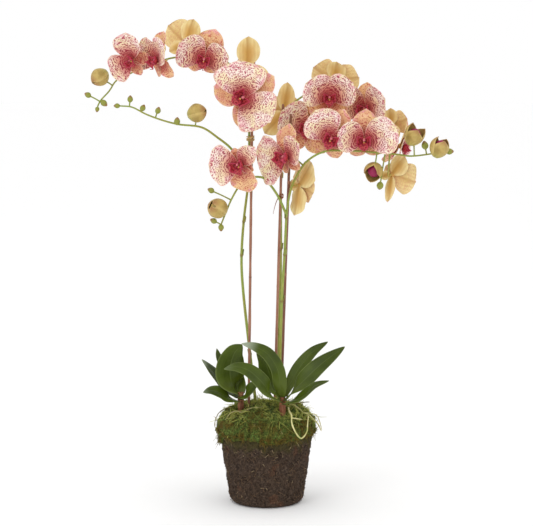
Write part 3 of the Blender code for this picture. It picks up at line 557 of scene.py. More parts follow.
class Signal:
    """Output of a shader node. Arithmetic on signals adds Math nodes."""

    def __init__(self, shader, socket):
        self.shader, self.socket = shader, socket

    def math(self, operation, *values):
        return self.shader.node("ShaderNodeMath", {"operation": operation}, values)

    def __add__(self, other):
        return self.math("ADD", self, other)

    def __sub__(self, other):
        return self.math("SUBTRACT", self, other)

    def __mul__(self, other):
        return self.math("MULTIPLY", self, other)

    def __pow__(self, other):
        return self.math("POWER", self, other)

    def __rsub__(self, other):
        return self.math("SUBTRACT", other, self)

    __radd__ = __add__
    __rmul__ = __mul__

    def sine(self):
        return self.math("SINE", self)

    def size(self):
        return self.math("ABSOLUTE", self)

    def rise(self, low, high, start=0.0, end=1.0):
        """Eased step from start at low to end at high."""
        return self.shader.node("ShaderNodeMapRange", {"interpolation_type": "SMOOTHSTEP"},
                                (self, low, high, start, end))


class Shader:
    """A material made of one Principled shader and the nodes that feed it."""

    def __init__(self, name, **fixed):
        self.material = bpy.data.materials.new(name)
        self.material.use_nodes = True
        self.tree = self.material.node_tree
        self.main = self.tree.nodes["Principled BSDF"]
        sockets = {socket.name.lower(): socket for socket in self.main.inputs}
        for label, value in fixed.items():
            sockets[label.replace("_", " ")].default_value = value

    def node(self, kind, settings=None, sockets=(), output=0):
        """Add a node: its settings first, then the values or links of its sockets."""
        node = self.tree.nodes.new(kind)
        for label, value in (settings or {}).items():
            setattr(node, label, value)
        pairs = sockets.items() if isinstance(sockets, dict) else enumerate(sockets)
        for key, value in pairs:
            if isinstance(value, Signal):
                self.tree.links.new(value.socket, node.inputs[key])
            else:
                node.inputs[key].default_value = value
        return Signal(self, node.outputs[output])

    def feed(self, label, signal):
        """Link a signal to a socket of the Principled shader."""
        self.tree.links.new(signal.socket, self.main.inputs[label])

    def attribute(self, label, output="Fac"):
        """Value stored on the mesh."""
        return self.node("ShaderNodeAttribute", {"attribute_name": label}, (), output)

    def parts(self, vector):
        """The three numbers of a vector."""
        first = self.node("ShaderNodeSeparateXYZ", None, (vector,))
        return [Signal(self, socket) for socket in first.socket.node.outputs]

    def here(self):
        """Place in the object's own frame, metres."""
        return self.node("ShaderNodeTexCoord", None, (), "Object")

    def stretched(self, vector, scale):
        """Vector scaled along its axes."""
        return self.node("ShaderNodeMapping", None, {"Vector": vector, "Scale": scale})

    def noise(self, vector, scale, detail=2.0, roughness=0.5):
        """Soft noise from about 0.25 to 0.75."""
        return self.node("ShaderNodeTexNoise", None,
                         {"Vector": vector, "Scale": scale, "Detail": detail, "Roughness": roughness})

    def mix(self, factor, first, second):
        """Colour between two colours."""
        first, second = (value if isinstance(value, Signal) else (*tuple(value)[:3], 1.0)
                         for value in (first, second))
        return self.node("ShaderNodeMix", {"data_type": "RGBA"},
                         {0: factor, 6: first, 7: second}, 2)

    def bump(self, height, distance, strength=1.0):
        """Normal of a height in metres times distance."""
        self.feed("Normal", self.node("ShaderNodeBump", None,
                                      {"Strength": strength, "Distance": distance, "Height": height},
                                      "Normal"))


MATERIALS = {}


def look(name, maker):
    """The named material, made on its first use."""
    if name not in MATERIALS:
        MATERIALS[name] = maker(name)
    return MATERIALS[name]


def tepal_skin(name, ground, warm, ink, outer_ink, density, glow, back, speckled_back):
    """Petal or sepal. Ink is where sin(2 pi (r + sway) / spacing) and a fine grain both pass a threshold.
    The grain cuts more away as the distance r from the flower's middle grows: rings, dashes, then dots."""
    s = blooms_set()
    shader = Shader(name, roughness=0.6, specular_ior_level=0.25, sheen_weight=0.1)
    place = shader.attribute("place", "Vector")
    tone = shader.attribute("tone")
    edge = shader.attribute("edge")
    x, y, front = shader.parts(place)
    flat = shader.node("ShaderNodeCombineXYZ", None, (x, y, tone * 9.0))
    reach = (x * x + y * y) ** 0.5
    far = reach.rise(1.4, 4.8)
    sway = shader.noise(flat, 0.9, 1.0)
    fine = shader.noise(flat, 5.2, 1.0)
    blot = shader.noise(flat, 0.6, 1.0)
    spacing = s.ring_spacing * 100
    rings = ((reach + sway * 1.7) * (2 * math.pi / spacing)).sine()
    dash = (rings + 0.42 + density * 1.5 - (blot - 0.5) * 1.6).rise(0.0, 0.6)
    mark = dash * (fine + (1 - far) * 0.09 + density * 0.3).rise(0.50, 0.59)
    colour = shader.mix(blot.rise(0.40, 0.62), ground, warm)
    blush = shader.noise(flat, 1.3, 1.0).rise(0.46, 0.64) * edge.rise(0.02, 0.6, 0.8, 0.0)
    colour = shader.mix(blush, colour, paint(224, 146, 164))
    colour = shader.mix(reach.rise(1.2, 4.0, glow, 0.0), colour, paint(214, 128, 112))
    colour = shader.mix(mark * 0.95, colour, shader.mix(far, ink, outer_ink))
    colour = shader.mix(reach.rise(0.9, 2.6, 0.9, 0.0) * (1.25 - fine), colour, s.crimson)
    face = shader.mix(edge.rise(0.0, 0.14, 0.4, 0.0), colour, paint(246, 220, 190))
    vein = (x * 11.0 + (sway - 0.5) * 6.0).sine() * 0.5 + 0.5
    rib = x.size().rise(0.0, 0.55, 0.8, 0.0)
    shade = shader.mix(edge.rise(0.05, 0.9), paint(240, 220, 160), back)
    shade = shader.mix(rib * 0.6 + vein * 0.16, shade, paint(176, 128, 56))
    shade = shader.mix(blot.rise(0.42, 0.7) * 0.25, shade, paint(206, 158, 96))
    shade = shader.mix(mark * speckled_back, shade, paint(206, 120, 110))
    shader.feed("Base Color", shader.mix(front, shade, face))
    shader.feed("Roughness", fine.rise(0.3, 0.7, 0.5, 0.66))
    shader.bump(vein * 0.35 + fine * 0.4, 0.0006, 0.5)
    return shader.material


def petal_skin(name):
    """Broad petal: cream with crimson rings that turn to rosy dots; pale yellow behind."""
    s = blooms_set()
    return tepal_skin(name, s.cream, s.yellow, s.ink, paint(176, 68, 92), 0.12, 0.9,
                      paint(232, 204, 136), 0.30)


def sepal_skin(name):
    """Sepal: peach with red dots; golden behind."""
    s = blooms_set()
    return tepal_skin(name, s.gold, paint(238, 200, 146), paint(170, 66, 60), paint(196, 104, 84),
                      -0.05, 0.5, s.ochre, 0.06)


def lip_skin(name):
    """Lip: deep red with pink margins, a rosy column and a yellow callus where tone is high."""
    s = blooms_set()
    shader = Shader(name, roughness=0.45, specular_ior_level=0.35)
    tone = shader.attribute("tone")
    edge = shader.attribute("edge")
    place = shader.attribute("place", "Vector")
    grain = shader.noise(place, 2.0, 3.0)
    colour = shader.mix(grain.rise(0.40, 0.58), s.lip_red, paint(190, 66, 70))
    colour = shader.mix(edge.rise(0.0, 0.4, 0.6, 0.0), colour, s.lip_pink)
    colour = shader.mix(tone.rise(0.55, 0.7), colour, paint(214, 118, 128))
    colour = shader.mix(tone.rise(0.8, 0.95), colour, paint(240, 206, 120))
    shader.feed("Base Color", colour)
    shader.bump(grain, 0.0006, 0.5)
    return shader.material


def bud_skin(name):
    """Bud: olive gold with green toward the stalk, brown tips and fine ribs. A small bud's tone of 0.75
    makes it green, and an open bud's heart, of tone 1, is crimson."""
    s = blooms_set()
    shader = Shader(name, roughness=0.5, specular_ior_level=0.35)
    place = shader.attribute("place", "Vector")
    tone = shader.attribute("tone")
    edge = shader.attribute("edge")
    x, y = shader.parts(place)[:2]
    grain = shader.noise(place, 2.2, 3.0)
    colour = shader.mix(grain.rise(0.38, 0.64), s.bud_olive, paint(160, 134, 70))
    colour = shader.mix(y.rise(0.45, 0.0, 0.0, 0.6), colour, paint(158, 158, 70))
    colour = shader.mix(y.rise(0.7, 1.0, 0.0, 0.65), colour, paint(160, 104, 70))
    colour = shader.mix(edge.rise(0.0, 0.5, 0.45, 0.0), colour, paint(222, 196, 126))
    young = shader.mix(y.rise(0.55, 0.95), paint(142, 146, 62), paint(150, 104, 68))
    colour = shader.mix(tone.rise(0.6, 0.7), colour, young)
    heart = shader.mix(grain.rise(0.4, 0.6), paint(168, 38, 92), paint(112, 16, 44))
    colour = shader.mix(tone.rise(0.9, 1.0), colour, heart)
    shader.feed("Base Color", colour)
    shader.bump((x * 26.0).sine() * 0.5 + grain, 0.0005, 0.4)
    return shader.material


def stem_skin(name):
    """Flower stem: yellow green with pale streaks. Joint rings and bracts, of high tone, are brown, and the
    flower stalks, of low tone, are straw yellow."""
    s = greens_set()
    shader = Shader(name, roughness=0.45, specular_ior_level=0.4)
    tone = shader.attribute("tone")
    here = shader.here()
    streak = shader.noise(shader.stretched(here, (900.0, 900.0, 60.0)), 1.0, 3.0)
    patch = shader.noise(here, 22.0, 2.0)
    colour = shader.mix(patch.rise(0.36, 0.64), s.stem_green, paint(136, 138, 50))
    colour = shader.mix(streak.rise(0.45, 0.75) * 0.7, colour, paint(188, 176, 92))
    colour = shader.mix(tone.rise(0.55, 1.0, 0.0, 0.75), colour, paint(120, 84, 44))
    colour = shader.mix(tone.rise(0.45, 0.0, 0.0, 1.0), colour, paint(190, 160, 84))
    shader.feed("Base Color", colour)
    shader.feed("Roughness", streak.rise(0.3, 0.7, 0.38, 0.6))
    shader.bump(streak, 0.0006, 0.5)
    return shader.material


def cane_skin(name):
    """Stake: grain that runs up it, dark brown where tone is low and with dark knots where it is high."""
    s = greens_set()
    shader = Shader(name, roughness=0.6, specular_ior_level=0.3)
    tone = shader.attribute("tone")
    here = shader.here()
    grain = shader.noise(shader.stretched(here, (1400.0, 1400.0, 34.0)), 1.0, 4.0, 0.6)
    patch = shader.noise(here, 14.0, 3.0)
    colour = shader.mix(patch.rise(0.35, 0.65), s.cane_red, paint(150, 102, 80))
    colour = shader.mix(tone.rise(0.5, 0.0, 0.0, 1.0), colour, s.cane_dark)
    colour = shader.mix(grain.rise(0.40, 0.72) * 0.55, colour, paint(92, 54, 42))
    colour = shader.mix(grain.rise(0.42, 0.25) * 0.5, colour, paint(206, 150, 118))
    colour = shader.mix(tone.rise(0.8, 1.0, 0.0, 0.7), colour, paint(70, 40, 32))
    shader.feed("Base Color", colour)
    shader.feed("Roughness", grain.rise(0.3, 0.7, 0.45, 0.75))
    shader.bump(grain, 0.0008, 0.7)
    return shader.material


def leaf_skin(name):
    """Leaf: dark green with long veins, a pale midrib and margin, lighter toward the base and beneath, with a
    painted sheen toward the tip.
    """
    s = greens_set()
    shader = Shader(name, roughness=0.3, specular_ior_level=0.22)
    place = shader.attribute("place", "Vector")
    edge = shader.attribute("edge")
    tone = shader.attribute("tone")
    across, along, front = shader.parts(place)
    veins = shader.noise(shader.stretched(place, (16.0, 0.9, 1.0)), 1.0, 3.0)
    patch = shader.noise(shader.here(), 24.0, 2.0)
    colour = shader.mix(patch.rise(0.35, 0.65), s.leaf_green, paint(70, 86, 12))
    colour = shader.mix(veins.rise(0.42, 0.68) * 0.22, colour, paint(80, 92, 38))
    colour = shader.mix(along.rise(0.45, 0.0, 0.0, 0.75), colour, s.leaf_light)
    colour = shader.mix(across.size().rise(0.07, 0.0, 0.0, 0.4), colour, paint(104, 118, 60))
    # Painted sheen: where tone is high, the leaf is whitened toward its tip as a reflection of the sky would
    # whiten it.
    colour = shader.mix(tone.rise(0.4, 1.0), colour, paint(158, 168, 146))
    beneath = shader.mix(veins.rise(0.35, 0.7), s.leaf_light, paint(120, 132, 72))
    colour = shader.mix(front, beneath, colour)
    colour = shader.mix(edge.rise(0.0, 0.10, 0.35, 0.0), colour, s.leaf_edge)
    shader.feed("Base Color", colour)
    shader.feed("Roughness", veins.rise(0.3, 0.7, 0.28, 0.40))
    shader.bump(veins + across.size().rise(0.0, 0.08) * 0.8, 0.0006, 0.45)
    return shader.material


def crown_skin(name):
    """Crown: reddish brown sheath with ridges and pale scars."""
    s = greens_set()
    shader = Shader(name, roughness=0.6, specular_ior_level=0.3)
    here = shader.here()
    grain = shader.noise(shader.stretched(here, (500.0, 500.0, 90.0)), 1.0, 4.0, 0.6)
    patch = shader.noise(here, 120.0, 2.0)
    colour = shader.mix(grain.rise(0.38, 0.66), s.crown_brown, paint(132, 80, 58))
    colour = shader.mix(patch.rise(0.52, 0.72) * 0.7, colour, paint(196, 146, 100))
    shader.feed("Base Color", colour)
    shader.bump(grain, 0.001, 0.7)
    return shader.material


def root_skin(name):
    """Root: cream to yellow green with fine cross wrinkles and olive stains."""
    s = greens_set()
    shader = Shader(name, roughness=0.55, specular_ior_level=0.35)
    here = shader.here()
    patch = shader.noise(here, 55.0, 3.0)
    grain = shader.noise(here, 520.0, 2.0)
    colour = shader.mix(patch.rise(0.42, 0.66), s.root_cream, paint(178, 180, 104))
    colour = shader.mix(grain.rise(0.5, 0.75) * 0.5, colour, paint(150, 134, 84))
    colour = shader.mix(shader.attribute("tone"), colour, paint(112, 96, 48))
    shader.feed("Base Color", colour)
    shader.bump(grain, 0.0006, 0.5)
    return shader.material


def tie_skin(name):
    """Tie: dry plant fibre with streaks along the band."""
    shader = Shader(name, roughness=0.85, specular_ior_level=0.2)
    tone = shader.attribute("tone")
    here = shader.here()
    fibre = shader.noise(shader.stretched(here, (300.0, 300.0, 1800.0)), 1.0, 4.0, 0.6)
    colour = shader.mix(tone.rise(0.4, 0.6), paint(206, 176, 122), paint(158, 98, 66))
    colour = shader.mix(fibre.rise(0.4, 0.7) * 0.6, colour, paint(104, 66, 42))
    shader.feed("Base Color", colour)
    shader.bump(fibre, 0.0008, 0.8)
    return shader.material


def moss_skin(name):
    """Moss strand: brown, green or bright by its tone, darkened toward its root, where edge is low, by
    painted shade among the strands.
    """
    s = plug_set()
    shader = Shader(name, roughness=0.8, specular_ior_level=0.2)
    tone = shader.attribute("tone")
    edge = shader.attribute("edge")
    grain = shader.noise(shader.here(), 160.0, 2.0)
    colour = shader.mix(tone.rise(0.15, 0.45), s.moss_brown, s.moss_green)
    colour = shader.mix(tone.rise(0.5, 0.85), colour, s.moss_bright)
    colour = shader.mix(tone.rise(0.93, 0.99), colour, s.straw)
    colour = shader.mix(grain.rise(0.35, 0.7) * 0.3, colour, paint(92, 92, 34))
    # Painted shade: strands darken toward their roots, where they shade one another.
    colour = shader.mix(edge.rise(0.0, 0.6, 0.85, 0.0), colour, paint(36, 38, 14))
    shader.feed("Base Color", colour)
    shader.bump(grain, 0.0004, 0.5)
    return shader.material


def mat_skin(name):
    """Moss mat under the strands: matted green and brown felt, whose dark felt is partly the mat's own colour
    and partly painted shade beneath the strands.
    """
    s = plug_set()
    shader = Shader(name, roughness=0.95, specular_ior_level=0.1)
    here = shader.here()
    patch = shader.noise(here, 42.0, 3.0)
    felt = shader.noise(here, 460.0, 5.0, 0.7)
    colour = shader.mix(patch.rise(0.34, 0.60), s.moss_brown, s.moss_green)
    # Dark felt: partly the mat's own colour, partly painted shade beneath the strands.
    colour = shader.mix(felt.rise(0.34, 0.62) * 0.8, colour, paint(34, 38, 14))
    shader.feed("Base Color", colour)
    shader.bump(felt, 0.003, 1.0)
    return shader.material


def soil_skin(name):
    """Soil: dark pressed peat with lighter crumbs, rusty spots and a green tinge under the moss. Its hollows
    are darker, partly peat colour and partly painted shade, and its pits are near black with painted shade.
    """
    s = plug_set()
    shader = Shader(name, roughness=0.95, specular_ior_level=0.15)
    here = shader.here()
    height = shader.parts(here)[2]
    crumb = shader.noise(here, 330.0, 6.0, 0.72)
    clod = shader.noise(here, 75.0, 4.0, 0.6)
    rust = shader.noise(here, 46.0, 3.0)
    pit = shader.node("ShaderNodeTexVoronoi", {"feature": "F1"}, {"Vector": here, "Scale": 260.0})
    # The dark soil colour sits where the bump below is low: partly the peat's colour, partly painted shade in
    # the hollows.
    colour = shader.mix(crumb.rise(0.36, 0.70) * 0.8, s.soil_dark, s.soil_light)
    colour = shader.mix(clod.rise(0.36, 0.66) * 0.6, colour, paint(80, 64, 52))
    colour = shader.mix(rust.rise(0.58, 0.70) * 0.35, colour, paint(112, 72, 50))
    # Painted shade: the pits, sunk by the bump below, are near black.
    colour = shader.mix(pit.rise(0.25, 0.0) * 0.5, colour, paint(24, 18, 15))
    damp = height + (clod - 0.5) * 0.05
    colour = shader.mix(damp.rise(0.088, 0.108) * 0.6, colour, paint(74, 72, 34))
    shader.feed("Base Color", colour)
    shader.bump(crumb + clod * 1.5 + pit.rise(0.0, 0.5), 0.0022, 1.0)
    return shader.material


def fibre_skin(name):
    """Plant fibre in the soil: brown to straw by its tone."""
    shader = Shader(name, roughness=0.85, specular_ior_level=0.2)
    tone = shader.attribute("tone")
    colour = shader.mix(tone.rise(0.2, 0.7), paint(58, 42, 32), paint(126, 100, 76))
    colour = shader.mix(tone.rise(0.88, 0.98), colour, paint(196, 172, 134))
    shader.feed("Base Color", colour)
    return shader.material


# ---------------------------------------------------------------- flowers

ROWS, COLUMNS = 22, 19


def tepal(piece, kind, angle, length, width, lift, shift, place, seed, look_index):
    """One petal or sepal, at a clockwise angle from the flower's +Y.

    On u from 0 at the hub to 1 at the tip and v from -1 to 1 across, the half width is
    width/2 sin(pi u^belly)^blunt, no less than a claw. The height is
    length (lift u - 0.35 lift u^2) + bowl half v^2, with ripples that grow as v^4, and the tip curls back
    by curl u^4.
    """
    s = blooms_set()
    rng = np.random.default_rng(seed)
    belly, blunt, claw, bowl, curl = ((1.18, 0.50, 0.15, 0.12, 0.05) if kind == "petal"
                                      else (1.04, 0.50, 0.24, 0.18, 0.08))
    u = (1 - np.cos(np.linspace(0, math.pi, ROWS))) / 2
    v = np.sin(np.linspace(-math.pi / 2, math.pi / 2, COLUMNS))
    u, v = np.meshgrid(u, v, indexing="ij")
    across = np.sin(math.pi * u ** belly).clip(0) ** blunt
    half = width / 2 * np.maximum(across, np.where(u < 0.5, claw, 0.05))
    wave = np.sin(2 * math.pi * (rng.uniform(1.6, 2.3) * u + rng.uniform(0, 1)) + 1.2 * np.sign(v))
    ripple = width * 0.035 * wave * v ** 4 * ease(u, 0.15, 0.6)
    sway = length * rng.uniform(-0.06, 0.06) * u ** 2
    x = half * v * (1 + 0.03 * np.sin(7 * u + seed)) + sway
    y = 0.0015 + length * u * (1 - 0.04 * v * v)
    rise = length * (lift * u - 0.35 * lift * u * u) - length * curl * u ** 4
    groove = -0.02 * width * np.exp(-(v / 0.16) ** 2) * ease(u, 0.0, 0.2) * (1 - ease(u, 0.7, 1.0))
    z = shift + rise + bowl * half * v * v + ripple + groove
    a = math.radians(angle)
    flat = np.stack((x * math.cos(a) + y * math.sin(a), -x * math.sin(a) + y * math.cos(a), z), axis=-1)
    spread = np.stack((x, y, np.zeros_like(x)), axis=-1) * 100
    edge = np.minimum(1 - np.abs(v), (1 - u) * 1.6)
    thick = s.tepal_thickness * (0.35 + 0.65 * ease(edge, 0.0, 0.3))
    turn, origin = place
    piece.sheet(flat[:, ::-1] @ turn.T + origin, thick[:, ::-1], look_index, spread[:, ::-1],
                rng.uniform(0, 1), edge[:, ::-1])


def egg(centre, axis, length, width, rows=9, sides=12, belly=1.0, lobes=0.0):
    """Rings of an egg: radius width/2 sin(pi t^belly) at centre + (t - 0.5) length along its axis."""
    t = np.linspace(0.03, 0.97, rows)
    path = centre + unit(np.asarray(axis, float)) * ((t - 0.5) * length)[:, None]
    radius = width / 2 * np.sin(math.pi * t ** belly) ** 0.75
    return rings_on(path, radius, sides, lobes), t


def flower_lip(piece, w, place, seed):
    """Lip and column: a forward tongue with two curled tails, two raised side lobes, a callus, a column.

    On a flower w wide, the tongue's half width is 0.068 w sin(pi (0.22 + 0.74 u))^0.8, at the point
    w (0, -0.02 - 0.125 u, 0.02 + 0.10 sin(2.1 u)). A side lobe fans from the lip's root out, up and
    forward, hollowed by 0.05 w v^2.
    """
    turn, origin = place
    rng = np.random.default_rng(seed)
    u, v = np.meshgrid(np.linspace(0, 1, 12), np.linspace(-1, 1, 9), indexing="ij")
    half = w * 0.068 * np.sin(math.pi * (0.22 + 0.74 * u)) ** 0.8
    tongue = np.stack((half * v, w * (-0.02 - 0.125 * u),
                       w * (0.02 + 0.10 * np.sin(2.1 * u)) + 0.55 * half * v * v), axis=-1)
    cell = np.stack((u * 3, v, np.zeros_like(u)), axis=-1)
    edge = 1 - np.abs(v)
    piece.sheet(tongue[:, ::-1] @ turn.T + origin, 0.0014, LIP, cell, 0.2, np.minimum(edge, (1 - u) * 2))
    for side in (-1, 1):
        bends = np.array(((0.006 * side, -0.138, 0.115), (0.016 * side, -0.158, 0.122),
                          (0.034 * side, -0.162, 0.140), (0.040 * side, -0.148, 0.156)))
        tail = smooth_path(w * bends, 0.001)
        piece.closed(rings_on(tail, np.linspace(0.0008, 0.0003, len(tail)), 6) @ turn.T + origin, LIP,
                     (0, 0, 1), 0.3, 0.3)
        fan = w * (0.030 + 0.050 * np.sin(math.pi * (0.10 + 0.84 * u)) ** 0.9)
        x = side * w * (0.016 + 0.088 * np.sin(1.7 * u) + 0.008 * np.sin(4 * u))
        y = w * (-0.014 + 0.030 * u) + fan * v
        z = w * (0.02 + 0.125 * u ** 1.2) + w * 0.05 * v * v - w * 0.03 * u * u * v
        lobe = np.stack((x, y, z), axis=-1)
        if side > 0:
            lobe = lobe[:, ::-1]
        piece.sheet(lobe @ turn.T + origin, 0.0013, LIP, cell, rng.uniform(0.1, 0.4),
                    np.minimum(edge, (1 - u) * 1.5))
    callus = egg(np.array((0, -0.030, 0.062)) * w, (0, 0.3, 1), 0.036 * w, 0.028 * w, 6, 8)[0]
    piece.closed(callus @ turn.T + origin, LIP, (0, 0, 1), 1.0, 1.0)
    bends = np.array(((0, 0.004, 0.0), (0, 0.014, 0.04), (0, 0.010, 0.085), (0, -0.004, 0.102)))
    column = smooth_path(w * bends, 0.0012)
    at = np.linspace(0, 1, len(column))
    radius = w * (0.015 + 0.009 * np.sin(math.pi * at ** 1.6)) * np.sqrt(np.clip(1.05 - at ** 6, 0.02, 1))
    piece.closed(rings_on(column, radius, 10) @ turn.T + origin, LIP, (0, 0, 1), 0.68, 1.0)


def bloom_place(bloom):
    """Turn and origin of a flower: its +Z looks out of the flower and its +Y is its upright sepal."""
    turn = turn_z(bloom.azimuth) @ turn_x(90 - bloom.elevation) @ turn_z(-bloom.roll)
    return turn, spot(bloom.spot)


def make_bloom(bloom, seed):
    """One flower: three sepals behind, two broad petals in front, the lip and the column."""
    piece = Piece()
    place = bloom_place(bloom)
    width = blooms_set().flower_width * bloom.size
    lifts = {"top": 0.03, "low_left": -bloom.sweep, "low_right": -bloom.sweep}
    for index, (name, kind, angle, long, wide, shift) in enumerate(TEPALS):
        turn, length, breadth = bloom.shape.get(name, (0, 1.0, 1.0))
        skin = PETAL if kind == "petal" else SEPAL
        tepal(piece, kind, angle + turn, long * width * length, wide * width * length * breadth,
              lifts.get(name, 0.9 * bloom.cup), shift, place, seed + index, skin)
    flower_lip(piece, width, place, seed)
    hub = egg(np.zeros(3), (0, 0, 1), HUB_RADIUS * 2, HUB_RADIUS * 2, 7, 12)[0]
    piece.closed(hub @ place[0].T + place[1], SEPAL, (0, 0, 0), 0.5, 1.0)
    skins = [look("petal_skin", petal_skin), look("sepal_skin", sepal_skin), look("lip_skin", lip_skin)]
    return piece.finish(bloom.name + "_head", skins, bloom.name)


# ---------------------------------------------------------------- stems and buds

def stem_paths(name):
    """Centre lines of a spike and of its side branch, the spike's from its socket up."""
    rest = [spot(point) for point in SPIKES[name]]
    foot = np.array((rest[0][0], rest[0][1], SOIL_HEIGHT - SOCKET_DEPTH))
    main = np.vstack((foot, smooth_path(rest, 0.0025)))
    side = BRANCHES[name]
    return main, smooth_path([spot(point) for point in side], 0.0025) if side else None


def carrier_of(paths, point):
    """The one of a spike's paths that passes nearest to a point."""
    main, side = paths
    if side is None:
        return main
    gaps = [np.linalg.norm(nearest_on(path, point) - point) for path in paths]
    return side if gaps[1] < gaps[0] else main


def jointed(path, start, end, joints):
    """Radius along a stem: start to end, plus 0.28 of it in a narrow hump at each joint height."""
    at = lengths_along(path)
    radius = start + (end - start) * at / at[-1]
    tone = np.full(len(path), 0.5)
    for height in joints:
        here = at[np.argmin(np.abs(path[:, 2] - SOIL_HEIGHT - height * MM))]
        hump = np.exp(-((at - here) / 0.0022) ** 2)
        radius = radius * (1 + 0.28 * hump)
        tone = np.maximum(tone, 0.5 + 0.45 * np.exp(-((at - here) / 0.003) ** 2))
    return radius, tone


def bract(piece, path, height, radius, heading):
    """Small leaf scale 10 mm high that clasps a joint: it goes round by 1.15 sin(pi (0.25 + 0.74 u))^0.7
    radians each way, leaning out by u^2."""
    index = np.argmin(np.abs(path[:, 2] - SOIL_HEIGHT - height * MM))
    base = path[index]
    tangent = unit(path[min(index + 2, len(path) - 1)] - path[index - 2])
    out = np.array((math.cos(math.radians(heading)), math.sin(math.radians(heading)), 0.0))
    out = unit(out - tangent * (out @ tangent))
    u, v = np.meshgrid(np.linspace(0, 1, 8), np.linspace(-1, 1, 7), indexing="ij")
    turn = v * 1.15 * np.maximum(np.sin(math.pi * (0.25 + 0.74 * u)), 0.05) ** 0.7
    away = radius * 1.18 + 0.0008 * u ** 2
    side = np.cross(tangent, out)
    points = (base + tangent * (0.010 * u)[..., None]
              + (away * np.cos(turn))[..., None] * out + (away * np.sin(turn))[..., None] * side)
    piece.sheet(points[:, ::-1], 0.0005, 0, None, 0.72, 1.0)


def stalk(piece, route, radius, tone):
    """Flower or bud stalk, a little thicker at both ends: r (1 + 0.25 (2t - 1)^4)."""
    path = smooth_path(route, 0.0015)
    t = np.linspace(-1, 1, len(path))
    colours = np.broadcast_to(0.5 + (tone - 0.5) * ease(t, -1, 1), (8, len(path))).T
    piece.closed(rings_on(path, radius * (1 + 0.25 * t ** 4), 8), 0, (0, 0, 1), colours)


def make_spike(name):
    """One spike: its stem with joints and bracts, its branch, the flower stalks and the small buds."""
    piece = Piece()
    paths = stem_paths(name)
    main, side = paths
    radius, tone = jointed(main, SPIKE_RADIUS, SPIKE_TIP_RADIUS, JOINTS[name])
    piece.closed(rings_on(main, radius, 12), 0, (0, 0, 1), np.tile(tone[:, None], (1, 12)))
    for index, height in enumerate(JOINTS[name]):
        bract(piece, main, height, SPIKE_RADIUS, BRACT_BEARINGS[index % len(BRACT_BEARINGS)])
    if side is not None:
        radius = np.linspace(SPIKE_RADIUS * 0.8, SPIKE_TIP_RADIUS, len(side))
        piece.closed(rings_on(side, radius, 10), 0)
    for bloom in BLOOMS:
        if bloom.spike != name:
            continue
        carrier = side if bloom.name == "branch_flower" else main
        turn, origin = bloom_place(bloom)
        facing = turn[:, 2]
        back = origin - facing * (HUB_RADIUS + GAP)
        route = [back - facing * 0.009, back, origin - facing * HUB_RADIUS * 0.6]
        if bloom.via:
            route.insert(0, spot(bloom.via))
        route.insert(0, nearest_on(carrier, route[0] - facing * 0.006))
        stalk(piece, route, PEDICEL_RADIUS, 0.1)
    for bud in list(LARGE_BUDS.values()) + SMALL_BUDS:
        if bud.spike != name:
            continue
        middle = spot(bud.spot)
        start = nearest_on(carrier_of(paths, middle), middle)
        away = unit(middle - start)
        small = bud in SMALL_BUDS
        reach = bud.size * MM * (0.3 if small else 0.44)
        if np.linalg.norm(middle - start) > reach + 0.0005:
            stalk(piece, [start, (start + middle - away * reach) / 2 + (0, 0, 0.0004), middle - away * reach],
                  PEDICEL_RADIUS * 0.85, 0.5)
        if small:
            rings, t = egg(middle, away, bud.size * MM * 1.35, bud.size * MM, 11, 12, 0.85, 0.05)
            spread = np.zeros(rings.shape)
            spread[..., 0] = np.linspace(0, 1, 12)
            spread[..., 1] = t[:, None]
            spread[..., 2] = 1
            piece.closed(rings, SMALL_BUD, spread, 0.75, 1.0)
    skins = [look("stem_skin", stem_skin), look("bud_skin", bud_skin)]
    return piece.finish(name + "_stem", skins, name)


def make_large_bud(name, bud, seed):
    """Swollen bud: three clasping sepals round a dark heart, their tips leaning out by its opening.

    On u from stalk to tip and v across, a sepal's radius is 0.48 size sin(pi (0.05 + reach u))^0.62, it leans
    out by opening 0.38 size u^3, and it spans 74 degrees each way, less toward its tip by u^taper.
    """
    piece = Piece()
    ajar = bud.opening > BUD_AJAR
    reach, taper = (0.88, 5) if ajar else (0.94, 16)
    middle = spot(bud.spot)
    axis = unit(np.array(bud.way))
    side = unit(np.cross(axis, (0.0, 1.0, 0.15)))
    up = np.cross(axis, side)
    size = bud.size * MM
    u, v = np.meshgrid(np.linspace(0, 1, 16), np.linspace(-1, 1, 15), indexing="ij")
    for index in range(3):
        heading = math.radians(seed * 17 + 120 * index)
        around = heading + v * math.radians(74) * (1 - 0.93 * u ** taper)
        radius = 0.48 * size * np.sin(math.pi * (0.05 + reach * u)) ** 0.62 * (1 + 0.03 * index)
        radius = radius + 0.02 * size * (1 - np.abs(v)) ** 2
        lean = bud.opening * 0.38 * size * u ** 3
        out = np.cos(around)[..., None] * side + np.sin(around)[..., None] * up
        lean_way = math.cos(heading) * side + math.sin(heading) * up
        points = (middle + axis * (size * (u * (1.06 + 0.12 * bud.opening) - 0.52))[..., None]
                  + out * radius[..., None] + lean_way * lean[..., None])
        spread = np.stack((v * 0.5, u, np.zeros_like(u)), axis=-1)
        piece.sheet(points[:, ::-1], 0.0009, 0, spread[:, ::-1], 0.4, (1 - np.abs(v))[:, ::-1])
    heart = egg(middle + axis * size * 0.03, axis, size * 0.92, size * 0.80, 11, 14, 1.0, 0.06)[0]
    piece.closed(heart, 0, (0, 0.5, 1), 1.0 if ajar else 0.4, 1.0)
    return piece.finish(name + "_shell", [look("bud_skin", bud_skin)], name)


# ---------------------------------------------------------------- leaves, crowns, stakes, ties, roots

